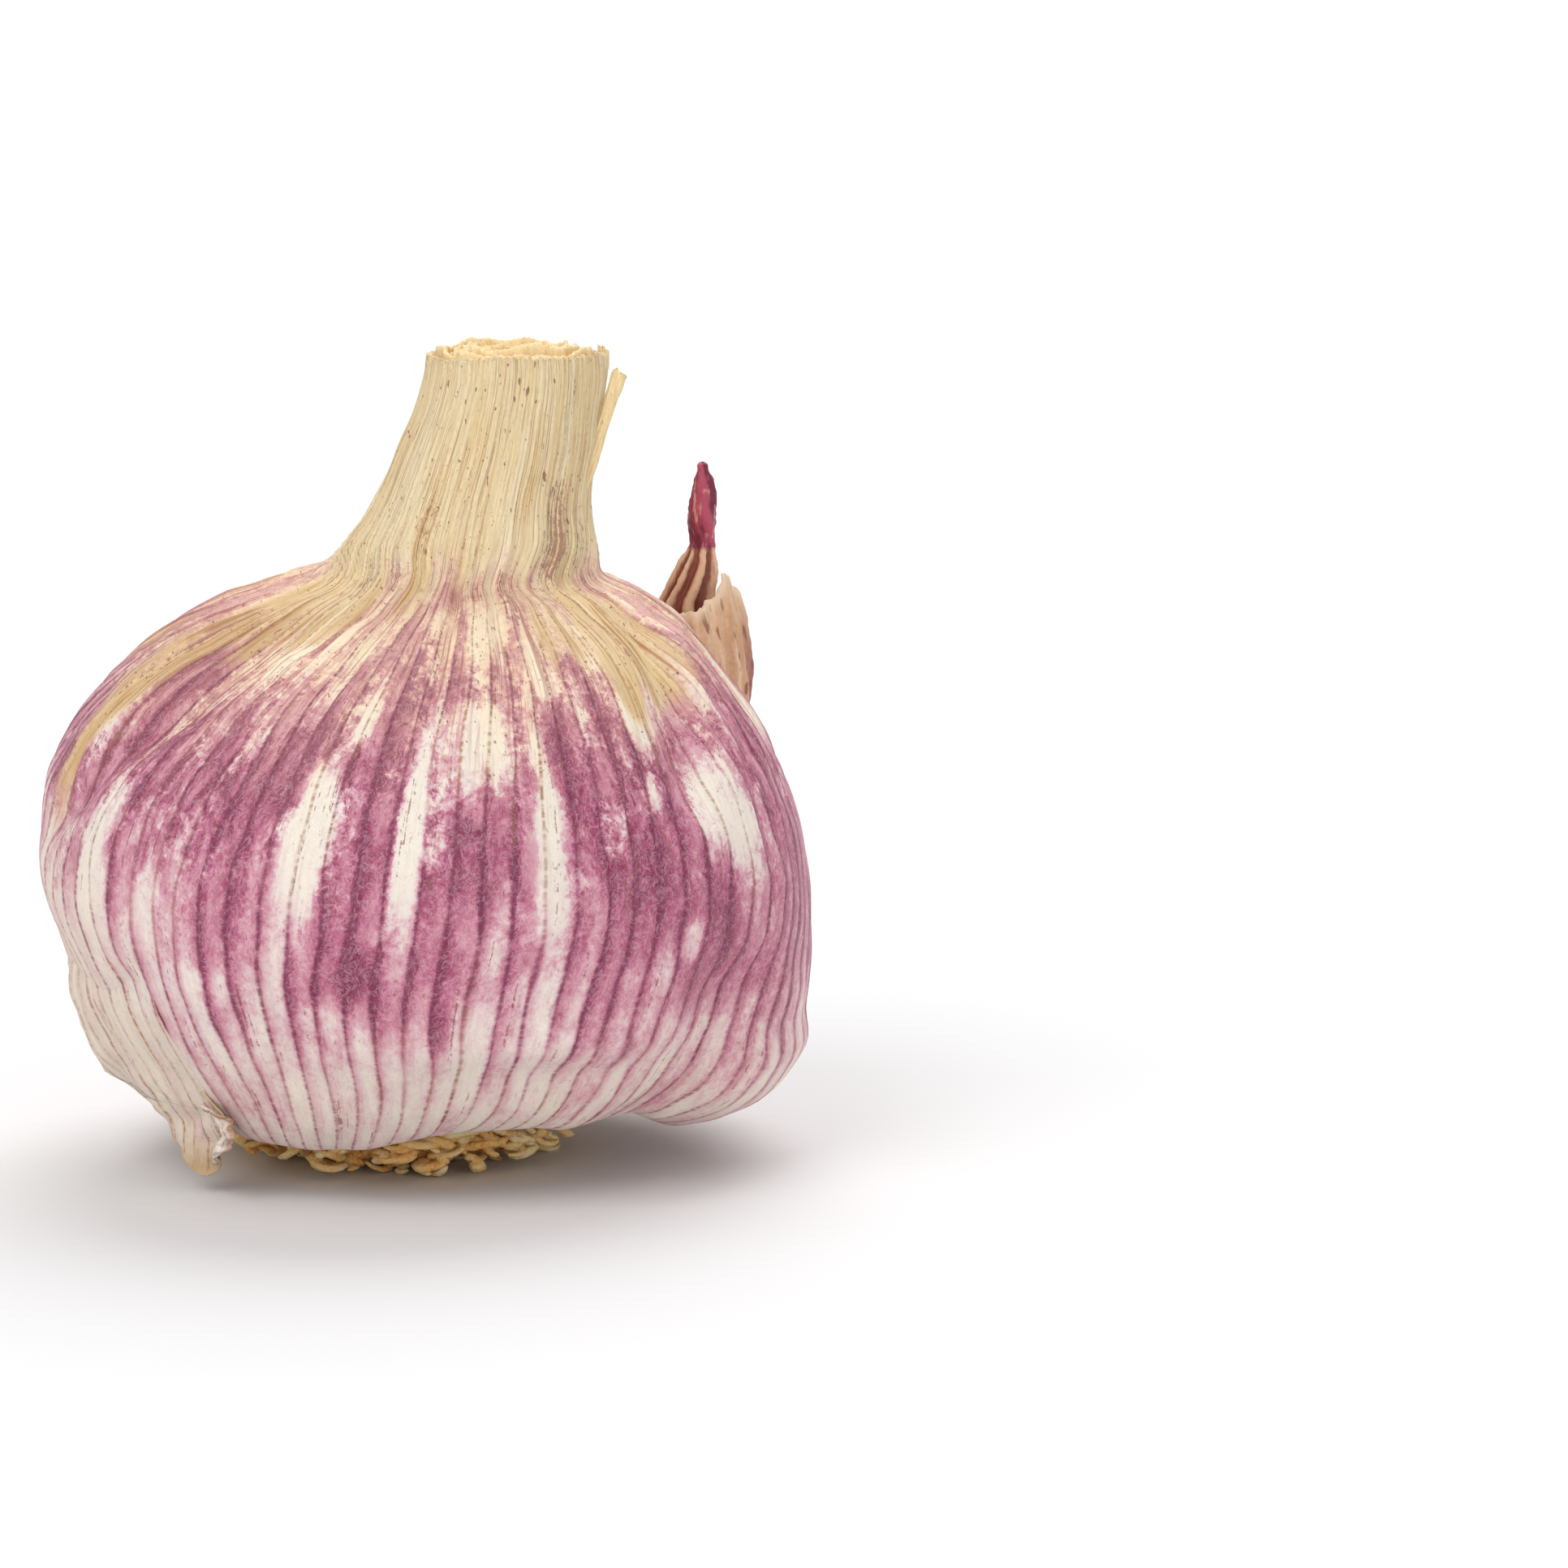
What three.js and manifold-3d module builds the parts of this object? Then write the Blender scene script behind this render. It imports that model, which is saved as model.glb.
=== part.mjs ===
// A garlic bulb with its neck cut short, standing on its flat root plate.
// Millimetres, +Z up, -Y is the front and +X the right. The origin is the middle of the foot.
// Each piece starts as a turned, flat or extruded form, whose vertices are then moved to the shape
// that grew: the bulb leans, is a little flat from front to back, and dips between its cloves.
import * as THREE from "three";
import { mergeVertices } from "three/addons/utils/BufferGeometryUtils.js";
import Module from "manifold-3d";

const wasm = await Module();
wasm.setup();

const GAP = 0.35; // clearance kept between pieces that touch

// Driving dimensions of the bulb.
const NECK_RADIUS = 6.8; // of the cut rim, side to side
const NECK_TOP = 62.6; // height of the cut rim
const RIM_WALL = 0.9; // thickness of the outermost sheath at the cut
const MOUTH_DEPTH = 6; // how far down the nested sheaths stand free of it
const PLATE_RADIUS = 12.9; // of the root plate
const PLATE_HEIGHT = 4.4;

// The skin from the roots to the cut, as [radius, height].
const SKIN_OUTLINE = [
  [12.6, 5.4], [17.4, 4.6], [22.0, 4.1], [25.3, 6.0], [27.6, 9.8], [29.1, 15.0], [29.9, 20.8],
  [29.6, 26.6], [27.6, 32.3], [24.0, 37.7], [20.0, 41.4], [15.2, 44.0], [11.3, 45.5], [9.8, 47.6],
  [8.3, 51.0], [7.45, 56.0], [NECK_RADIUS, NECK_TOP],
];

// How the round outline is moved at each height, as [height, amount].
const LEAN = [
  [0, 0], [5, 2.9], [9, 3.5], [13, 3.1], [18, 2.3], [24, 1.7], [31, 1.35], [37, 1.6], [42, 2.6], [45, 4.0],
  [47.5, 5.3], [52, 6.6], [57, 8.1], [62, 9.1],
];
const DEPTH = [[0, 0.95], [40, 0.95], [50, 0.9], [64, 0.88]];

// The dips between the cloves, a rise under the front, and, with a negative depth, a place that swells.
// from and to are [height, degrees round from the front to the right].
const DIPS = [
  { from: [1, -44], to: [19, -54], depth: 1.5, width: 4.0 },
  { from: [1, 41], to: [20, 56], depth: 1.4, width: 4.2 },
  { from: [24, -78], to: [47, -25], depth: 1.5, width: 3.2 },
  { from: [27, 46], to: [46, 63], depth: 1.3, width: 3.0 },
  { from: [3, 106], to: [45, 112], depth: 1.6, width: 4.4 },
  { from: [3, 152], to: [45, 158], depth: 1.5, width: 4.2 },
  { from: [3, 203], to: [45, 199], depth: 1.7, width: 4.4 },
  { from: [3, 246], to: [45, 240], depth: 1.4, width: 4.2 },
  { from: [1, -74], to: [22, -80], depth: 0.7, width: 15 },
  { from: [1, 72], to: [12, 74], depth: -0.9, width: 11 },
  { from: [0, 22], to: [13, 22], depth: 1.7, width: 12 },
];

const rad = THREE.MathUtils.degToRad;
const { lerp, clamp, euclideanModulo } = THREE.MathUtils;

// A smooth curve through [at, value] pairs, level at both ends.
function through(pairs, at) {
  const last = pairs.length - 1;
  const x = clamp(at, pairs[0][0], pairs[last][0]);
  let i = 0;
  while (i < last - 1 && x > pairs[i + 1][0]) i++;
  const slope = (k) => {
    if (k < 1 || k >= last) return 0;
    const [before, after] = [pairs[k - 1], pairs[k + 1]];
    return (after[1] - before[1]) / (after[0] - before[0]);
  };
  const [x0, y0] = pairs[i];
  const [x1, y1] = pairs[i + 1];
  const span = x1 - x0;
  const t = (x - x0) / span;
  const rise = t * t * (3 - 2 * t);
  return y0 + (y1 - y0) * rise + span * (slope(i) * t * (1 - t) ** 2 - slope(i + 1) * t * t * (1 - t));
}

// How far the skin lies under its round outline, at an angle in radians and a height.
function dip(angle, z, radius) {
  let sum = 0;
  for (const { from, to, depth, width } of DIPS) {
    const t = (z - from[0]) / (to[0] - from[0]);
    if (t <= 0 || t >= 1) continue;
    const fade = Math.min(1, 4 * t, 4 * (1 - t));
    const middle = rad(lerp(from[1], to[1], t));
    const away = euclideanModulo(angle - middle + Math.PI, 2 * Math.PI) - Math.PI;
    sum += depth * fade * fade * (3 - 2 * fade) * Math.exp(-(((away * radius) / width) ** 2));
  }
  return sum;
}

// Moves a point of the round, upright form to where it grew: flatter from front to back, and leaning.
function grown(point) {
  point.x += through(LEAN, point.z);
  point.y *= through(DEPTH, point.z);
}

// Calls move(point, normal) on every vertex and writes back the point.
function moveVertices(geometry, move) {
  const position = geometry.attributes.position;
  const normal = geometry.attributes.normal;
  const point = new THREE.Vector3();
  const outward = new THREE.Vector3();
  for (let i = 0; i < position.count; i++) {
    point.fromBufferAttribute(position, i);
    outward.fromBufferAttribute(normal, i);
    move(point, outward);
    position.setXYZ(i, point.x, point.y, point.z);
  }
  return geometry;
}

// A round form about Z from [radius, height] points that start and end on the axis or close on themselves.
function turned(outline, around) {
  const points = outline.map(([radius, height]) => new THREE.Vector2(radius, height));
  return new THREE.LatheGeometry(points, around).rotateX(Math.PI / 2);
}

// A point on a ring about an upright axis, at an angle round from the front to the right.
function onRing(x, y, radius, angle, z) {
  return new THREE.Vector3(x + radius * Math.sin(angle), y - DEPTH[0][1] * radius * Math.cos(angle), z);
}

// A thin box that runs along place(across, along), both from 0 to 1, with half its thickness each side.
function sheet(acrossSteps, alongSteps, thickness, place) {
  const box = new THREE.BoxGeometry(1, 1, 1, acrossSteps, alongSteps, 1);
  const step = 1e-3;
  return moveVertices(box, (point) => {
    const [u, v, side] = [point.x + 0.5, point.y + 0.5, point.z];
    const across = place(u + step, v).sub(place(u - step, v));
    const along = place(u, v + step).sub(place(u, v - step));
    point.copy(place(u, v)).addScaledVector(across.cross(along).normalize(), side * thickness);
  });
}

// A closed mesh as a solid that can be cut, and back.
function toSolid(geometry) {
  const bare = geometry.clone();
  bare.deleteAttribute("normal");
  bare.deleteAttribute("uv");
  const merged = mergeVertices(bare, 1e-3);
  const mesh = new wasm.Mesh({
    numProp: 3,
    vertProperties: merged.attributes.position.array,
    triVerts: new Uint32Array(merged.index.array),
  });
  return new wasm.Manifold(mesh);
}

function toGeometry(solid) {
  const { vertProperties, triVerts } = solid.getMesh();
  const geometry = new THREE.BufferGeometry();
  geometry.setAttribute("position", new THREE.BufferAttribute(vertProperties, 3));
  geometry.setIndex(new THREE.BufferAttribute(triVerts, 1));
  return geometry;
}

// The largest piece left of a geometry once the bulb, grown by the gap, is cut away.
function clearOfBulb(geometry) {
  const pieces = toSolid(geometry).subtract(toSolid(wrappedBulb(GAP))).decompose();
  pieces.sort((a, b) => b.volume() - a.volume());
  return toGeometry(pieces[0]);
}

// The bulb and the outermost sheath of its neck, with the open mouth at the cut. grow swells the skin.
function wrappedBulb(grow = 0) {
  const rows = 34;
  const skin = new THREE.SplineCurve(SKIN_OUTLINE.map(([r, z]) => new THREE.Vector2(r, z))).getPoints(rows);
  const mouth = NECK_RADIUS - RIM_WALL;
  const floor = NECK_TOP - MOUTH_DEPTH;
  const outline = [
    [0, 5.1],
    [6, 5.1],
    ...skin.map((p) => [p.x, p.y]),
    [mouth, NECK_TOP],
    [mouth, floor],
    [0, floor],
  ];
  return moveVertices(turned(outline, 60), (point, outward) => {
    const radius = Math.hypot(point.x, point.y);
    const angle = Math.atan2(point.x, -point.y);
    point.addScaledVector(outward, grow - dip(angle, point.z, radius));
    grown(point);
  });
}

// One dry leaf sheath nested in the mouth of the neck, a ring that stands on the mouth's floor.
function nestedSheath(outer, wall, top) {
  const foot = NECK_TOP - MOUTH_DEPTH + GAP;
  const inner = outer - wall;
  const ring = turned([[inner, foot], [outer, foot], [outer, top], [inner, top], [inner, foot]], 32);
  return moveVertices(ring, grown);
}

// The youngest leaf, rolled into a small solid quill in the middle of the neck.
function rolledLeaf(radius, top) {
  const foot = NECK_TOP - MOUTH_DEPTH + GAP;
  return moveVertices(turned([[0, foot], [radius, foot], [radius * 0.8, top], [0, top - 0.4]], 14), grown);
}

// A strip of neck fibre that has split off and bends away to the right.
function neckSplinter() {
  const path = new THREE.CatmullRomCurve3([
    new THREE.Vector3(15.8, -1, 54.8),
    new THREE.Vector3(16.2, -1, 57.0),
    new THREE.Vector3(17.2, -1, 60.9),
  ]);
  const section = new THREE.Shape([
    new THREE.Vector2(-0.3, -0.45),
    new THREE.Vector2(0.3, -0.45),
    new THREE.Vector2(0.3, 0.45),
    new THREE.Vector2(-0.3, 0.45),
  ]);
  return new THREE.ExtrudeGeometry(section, { steps: 6, extrudePath: path, bevelEnabled: false });
}

// The corky plate that the roots grew from, with their cut stubs, flat underneath.
function rootPlate() {
  const foot = PLATE_RADIUS - 1.7;
  const outline = [
    [0, 0],
    [foot, 0],
    [PLATE_RADIUS - 0.4, 1.1],
    [PLATE_RADIUS, 2.5],
    [PLATE_RADIUS - 0.9, PLATE_HEIGHT],
    [0, PLATE_HEIGHT],
  ];
  return moveVertices(turned(outline, 36), (point) => {
    const angle = Math.atan2(point.x, -point.y);
    const ragged = 1 + 0.03 * Math.sin(3 * angle + 0.6) + 0.02 * Math.sin(7 * angle);
    point.set(point.x * ragged, point.y * ragged * 0.92, point.z);
  });
}

// Outer skin that came loose at the lower left and hangs to a torn point, as [height, amount].
const FLAP_RADIUS = [[1.6, 22.6], [4, 24.6], [6.5, 26.2], [9.5, 27.6], [13, 28.9], [17.5, 29.95]];
const FLAP_LEFT = [
  [1.6, -43], [2.6, -47.5], [3.6, -50.5], [5.9, -55.5], [6.9, -58], [7.8, -76], [10.5, -91], [17.5, -94],
];
const FLAP_RIGHT = [
  [1.6, -40.5], [2.4, -39], [4.4, -36.5], [6, -35], [8.2, -39.5], [11.5, -42.5], [17.5, -45.5],
];
function looseFlap() {
  const [bottom, top] = [1.6, 17.5];
  const hanging = sheet(12, 16, 0.7, (u, v) => {
    const z = lerp(bottom, top, v);
    const angle = rad(lerp(through(FLAP_LEFT, z), through(FLAP_RIGHT, z), u));
    const radius = through(FLAP_RADIUS, z);
    return onRing(through(LEAN, z), 0, radius, angle, z);
  });
  return clearOfBulb(hanging);
}

// A papery husk that stands up from the right shoulder like half a cup, highest at the right.
const HUSK_CENTRE = new THREE.Vector2(22.2, 11.5);
const HUSK_RADIUS = [[27, 2.6], [31, 4.4], [36, 5.0], [41, 4.3], [45, 3.4]];
const HUSK_RIM = [[-30, 41.2], [0, 41.5], [30, 42.6], [62, 44.3], [90, 42.6], [135, 39.0]]; // by degrees
function tornHusk() {
  const [start, end, foot] = [-30, 135, 27];
  const cup = sheet(16, 10, 0.6, (u, v) => {
    const degrees = lerp(start, end, u);
    const z = lerp(foot, through(HUSK_RIM, degrees), v);
    const radius = through(HUSK_RADIUS, z);
    const angle = rad(degrees);
    return onRing(HUSK_CENTRE.x, HUSK_CENTRE.y, radius, angle, z);
  });
  return clearOfBulb(cup);
}

// The shrivelled end of that husk's leaf: a pleated stalk inside the cup, with a swollen purple point.
const TIP_OUTLINE = [
  [0, 34], [2.0, 34], [2.2, 39], [2.0, 41.6], [1.5, 44.5], [1.0, 46.1], [1.2, 48.3], [0.95, 51],
  [0.5, 52.5], [0, 53],
];
const TIP_LEAN = [[34, 21.6], [40, 22.1], [44.5, 22.85], [48.3, 23.4], [53, 23.35]];
function shrivelledTip() {
  const stalk = moveVertices(turned(TIP_OUTLINE, 14), (point) => {
    point.set(point.x + through(TIP_LEAN, point.z), point.y * 0.85 + HUSK_CENTRE.y + 0.4, point.z);
  });
  return clearOfBulb(stalk);
}

function finish(color, roughness) {
  return new THREE.MeshStandardMaterial({ color, roughness, metalness: 0 });
}
const skinFinish = finish(0xcfa3b0, 0.5);
const sheathFinish = finish(0xe8cf9f, 0.6);
const rootFinish = finish(0xa8834f, 0.9);
const paleSkinFinish = finish(0xdcc7b2, 0.5);
const huskFinish = finish(0xc79d7a, 0.6);
const tipFinish = finish(0x8f3f5c, 0.55);

const garlic = new THREE.Group();
function add(name, geometry, material) {
  const mesh = new THREE.Mesh(geometry, material);
  mesh.name = name;
  garlic.add(mesh);
}

add("wrapped_bulb", wrappedBulb(), skinFinish);
add("root_plate", rootPlate(), rootFinish);
add("loose_skin_flap", looseFlap(), paleSkinFinish);
add("torn_husk", tornHusk(), huskFinish);
add("shrivelled_tip", shrivelledTip(), tipFinish);
add("neck_splinter", neckSplinter(), sheathFinish);

// Three nested sheaths, each a wall and a gap inside the last, and the quill in the middle of them.
const SHEATH_WALL = 0.8;
const SHEATH_TOPS = [63.0, 63.6, 63.3];
let room = NECK_RADIUS - RIM_WALL - GAP;
SHEATH_TOPS.forEach((top, i) => {
  add("neck_sheath_" + (i + 1), nestedSheath(room, SHEATH_WALL, top), sheathFinish);
  room -= SHEATH_WALL + GAP;
});
add("rolled_leaf", rolledLeaf(room, 62.3), sheathFinish);

export default garlic;
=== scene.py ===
# %% [markdown]
# A garlic bulb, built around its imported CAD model
#
# The real thing is a head of purple garlic: cloves wrapped in thin dry skins, a neck of rolled leaf
# sheaths cut short, and a corky plate with the stubs of its roots. The CAD model fixes where each
# piece is and how big it may be. This lesson makes the surfaces that are looked at: ribs, pleats and
# torn edges in the mesh, and pigment, veins and fibres in the materials.

# %% Load the frame
import math
import bpy
import numpy as np
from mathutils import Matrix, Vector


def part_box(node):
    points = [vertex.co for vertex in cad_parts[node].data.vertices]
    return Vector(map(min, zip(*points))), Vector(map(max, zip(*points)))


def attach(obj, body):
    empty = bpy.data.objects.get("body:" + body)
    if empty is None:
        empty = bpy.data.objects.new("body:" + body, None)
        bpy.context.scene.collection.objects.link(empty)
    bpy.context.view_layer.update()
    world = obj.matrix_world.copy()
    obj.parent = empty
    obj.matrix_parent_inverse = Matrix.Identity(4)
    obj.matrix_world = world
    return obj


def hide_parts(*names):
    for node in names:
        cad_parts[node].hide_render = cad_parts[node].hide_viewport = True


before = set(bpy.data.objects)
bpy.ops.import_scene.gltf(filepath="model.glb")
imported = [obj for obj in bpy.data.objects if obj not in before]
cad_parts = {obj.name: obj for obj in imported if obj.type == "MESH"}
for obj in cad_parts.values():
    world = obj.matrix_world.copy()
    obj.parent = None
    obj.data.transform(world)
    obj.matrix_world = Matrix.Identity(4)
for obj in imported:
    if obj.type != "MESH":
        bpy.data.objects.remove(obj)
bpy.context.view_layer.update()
print("nodes:", ", ".join(sorted(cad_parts)))

# %% [markdown]
# Units. The frame is in metres, and a bulb is easier to think about in millimetres. So every shape
# below is worked out in millimetres, and the one function that makes meshes turns it into metres.

# %% Boxes of the CAD nodes, in millimetres
MM = 0.001


def box_mm(node):
    """The lowest and the highest corner of a CAD node, each divided by one millimetre."""
    low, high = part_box(node)
    return np.array(low) / MM, np.array(high) / MM


plate_low, plate_high = box_mm("root_plate")
neck_top = box_mm("wrapped_bulb")[1][2]
print("root plate", plate_high - plate_low, "cut of the neck at", neck_top)

# %% [markdown]
# Smooth curves through a few numbers. A grown shape has no radii to look up, but a few given heights
# and widths describe it. A Hermite curve passes through each pair and takes its slope from the pairs
# on both sides, and a Catmull-Rom curve does the same for an outline that turns back under itself.
# Both are worked out for whole arrays at once.


# %% Curves through a few points
def through(pairs, at):
    """A smooth curve through (place, amount) pairs: Hermite, with each slope taken from its neighbours."""
    place, amount = np.array(pairs, float).T
    x = np.clip(at, place[0], place[-1])
    i = np.clip(np.searchsorted(place, x) - 1, 0, len(place) - 2)
    slope = np.zeros(len(place))
    slope[1:-1] = (amount[2:] - amount[:-2]) / (place[2:] - place[:-2])
    span = place[i + 1] - place[i]
    t = (x - place[i]) / span
    rise = t * t * (3 - 2 * t)
    bend = slope[i] * t * (1 - t) ** 2 - slope[i + 1] * t * t * (1 - t)
    return amount[i] + (amount[i + 1] - amount[i]) * rise + span * bend


def curve(points, t):
    """A Catmull-Rom curve through points, for t from 0 to 1: a cubic between each two of them."""
    padded = np.vstack([points[:1], points, points[-1:]])
    x = np.clip(t, 0, 1) * (len(points) - 1)
    i = np.clip(x.astype(int), 0, len(points) - 2)
    w = (x - i)[..., None]
    a, b, c, d = (padded[i + k] for k in range(4))
    square = (2 * a - 5 * b + 4 * c - d) * w**2
    cube = (3 * b - a - 3 * c + d) * w**3
    return 0.5 * (2 * b + (c - a) * w + square + cube)


def smooth(low, high, at):
    """0 below low, 1 above high, and an S-shaped rise between them."""
    t = np.clip((at - low) / (high - low), 0, 1)
    return t * t * (3 - 2 * t)


def bell(at):
    """1 at 0, and falling off on both sides: e to the power of minus the square."""
    return np.exp(-(at**2))


def full_turn(count):
    """Angles from 0 to almost a full turn, evenly spaced."""
    return 2 * np.pi * np.arange(count) / count


def within_half_turn(angle):
    """The same angle, moved by whole turns to lie within half a turn of 0."""
    return (angle + np.pi) % (2 * np.pi) - np.pi


def xyz(x, y, z):
    """One array of points from three arrays of coordinates that fit each other."""
    return np.stack(np.broadcast_arrays(x, y, z), -1)


# %% [markdown]
# The form of the bulb. It is a turned outline that was then pushed about: the neck leans to the
# right, the bulb is a little flatter from front to back, and there is a dip between each two cloves.
# The same numbers as in the CAD model give the same form, so the fine skin lies exactly on it.

# %% The outline, the lean and the dips between the cloves
SKIN_OUTLINE = np.array([
    (12.6, 5.4), (17.4, 4.6), (22.0, 4.1), (25.3, 6.0), (27.6, 9.8), (29.1, 15.0), (29.9, 20.8),
    (29.6, 26.6), (27.6, 32.3), (24.0, 37.7), (20.0, 41.4), (15.2, 44.0), (11.3, 45.5), (9.8, 47.6),
    (8.3, 51.0), (7.45, 56.0), (6.8, neck_top),
])  # radius and height
LEAN = [
    (0, 0), (5, 2.9), (9, 3.5), (13, 3.1), (18, 2.3), (24, 1.7), (31, 1.35), (37, 1.6), (42, 2.6),
    (45, 4.0), (47.5, 5.3), (52, 6.6), (57, 8.1), (62, 9.1),
]  # height and shift to the right
DEPTH = [(0, 0.95), (40, 0.95), (50, 0.9), (64, 0.88)]  # height and squash from front to back
DIPS = [
    ((1, -44), (19, -54), 0.5, 4.0), ((1, 41), (20, 56), 1.4, 4.2), ((24, -78), (47, -25), 1.5, 3.2),
    ((27, 46), (46, 63), 1.3, 3.0), ((3, 106), (45, 112), 1.6, 4.4), ((3, 152), (45, 158), 1.5, 4.2),
    ((3, 203), (45, 199), 1.7, 4.4), ((3, 246), (45, 240), 1.4, 4.2), ((1, -74), (22, -80), 0.7, 15),
    ((1, 72), (12, 74), -0.9, 11), ((0, 22), (13, 22), 1.7, 12),
]  # from (height, degrees) to (height, degrees), how deep and how wide


def dip(angle, z, radius):
    """The sum of the dips: each is a bell curve across its line, faded in and out at its ends."""
    total = np.zeros(np.broadcast(angle, z).shape)
    for (z0, a0), (z1, a1), depth, width in DIPS:
        t = (z - z0) / (z1 - z0)
        fade = smooth(0, 0.25, np.minimum(t, 1 - t))
        away = within_half_turn(angle - np.radians(a0 + (a1 - a0) * t))
        total += depth * fade * bell(away * radius / width)
    return total


def placed(angle, radius, z):
    """A point of the bulb from its angle round from the front, its radius and its height."""
    x = radius * np.sin(angle) + through(LEAN, z)
    y = -radius * np.cos(angle) * through(DEPTH, z)
    return xyz(x, y, z)


def skin_form(angle, t):
    """The bulb at an angle and at t along its outline, with the dips pushed in across the outline."""
    step = 1e-4
    radius, z = np.moveaxis(curve(SKIN_OUTLINE, t), -1, 0)
    ahead = curve(SKIN_OUTLINE, t + step) - curve(SKIN_OUTLINE, t - step)
    ahead = ahead / np.linalg.norm(ahead, axis=-1, keepdims=True)
    depth = dip(angle, z, radius)
    return placed(angle, radius - depth * ahead[..., 1], z + depth * ahead[..., 0])


# %% [markdown]
# Where the veins run. The veins rise from the root plate, which sits in front and to the left of the
# middle of the bulb, spread over the belly, and gather again into the neck with a slight twist. So a
# vein isn't a line of constant angle. The vein angle is the angle as seen from a centre that moves
# with height, plus the twist. Everything that follows the skin's growth is laid out on it.

# %% The vein angle
CENTRE_X = [(0, -4.5), (4, -4.5), (10, -3), (20, -0.5), (26, 0), (62, 0)]
CENTRE_Y = [
    (0, -7), (4, -7), (12, -3.5), (22, -0.5), (30, -1.2), (38, -3.2), (43, -4.2), (46, -2.5), (49, 0),
    (62, 0),
]
TWIST = [(0, 3), (5, 4), (10, 7), (16, 8.5), (25, 7), (36, 3), (44, 0), (48, 7), (55, 10), (62, 13)]
VEINS = 76


def vein_angle(angle, radius, z):
    """The angle round the moving centre of the veins, plus the twist at that height, in radians."""
    x = radius * np.sin(angle) - through(CENTRE_X, z)
    y = radius * np.cos(angle) + through(CENTRE_Y, z)
    seen = np.arctan2(x, y)
    return seen + np.round((angle - seen) / (2 * np.pi)) * 2 * np.pi + np.radians(through(TWIST, z))


# %% [markdown]
# Uneven fields. Nothing on a bulb repeats exactly, so most amounts need a little unevenness. A sum of
# a few sine waves with random directions and phases is smooth, has one clear size of bump, and is the
# same on each run because the generator starts from a fixed number.


# %% A smooth uneven field
def uneven(points, size, seed, waves=20):
    """The sum of sine waves of about one wavelength in random directions, scaled to about -1 to 1."""
    rng = np.random.default_rng(seed)
    direction = rng.normal(size=(waves, points.shape[-1]))
    direction /= np.linalg.norm(direction, axis=1, keepdims=True)
    reach = rng.uniform(0.6, 1.6, waves)[:, None] * direction * (2 * np.pi / size)
    phase = rng.uniform(0, 2 * np.pi, waves)
    total = np.zeros(points.shape[:-1])
    for k in range(waves):
        total += np.sin(points @ reach[k] + phase[k])
    return total / math.sqrt(waves)


DRUM_RADIUS = 30


def sheet_place(vein, run):
    """The skin rolled out on a drum: its radius times sine and cosine of the vein angle, and the run."""
    return xyz(DRUM_RADIUS * np.sin(vein), DRUM_RADIUS * np.cos(vein), run)


# %% [markdown]
# From a grid to a mesh. Every piece here is a grid of points in rows. Some grids close round on
# themselves, as a tube does, and some are closed by a point at each end. One function makes the faces
# by index arithmetic, fills the mesh with whole arrays, and stores the UV map and the extra numbers
# that the materials read.


# %% Make a mesh from a grid
def grid_faces(rows, columns, wrap, poles, ring):
    """Corner numbers of a grid's faces. Column j + 1 follows j, and after the last comes the first if
    the grid wraps. In a ring the first row follows the last one too."""
    bands = rows if ring else rows - 1
    i, j = np.meshgrid(np.arange(bands), np.arange(columns if wrap else columns - 1), indexing="ij")
    i, j = i.ravel(), j.ravel()
    k = (j + 1) % columns
    above = (i + 1) % rows
    quads = np.stack([i * columns + j, i * columns + k, above * columns + k, above * columns + j], 1)
    marks = np.stack([i * (columns + 1) + j, i * (columns + 1) + j + 1,
                      (i + 1) * (columns + 1) + j + 1, (i + 1) * (columns + 1) + j], 1)
    if not poles:
        return quads, marks, np.zeros((0, 3), int)
    j = np.arange(columns)
    k = (j + 1) % columns
    last = (rows - 1) * columns
    first_pole, last_pole = rows * columns, rows * columns + 1
    below = np.stack([np.full(columns, first_pole), k, j], 1)
    above = np.stack([np.full(columns, last_pole), last + j, last + k], 1)
    return quads, marks, np.vstack([below, above])


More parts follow.
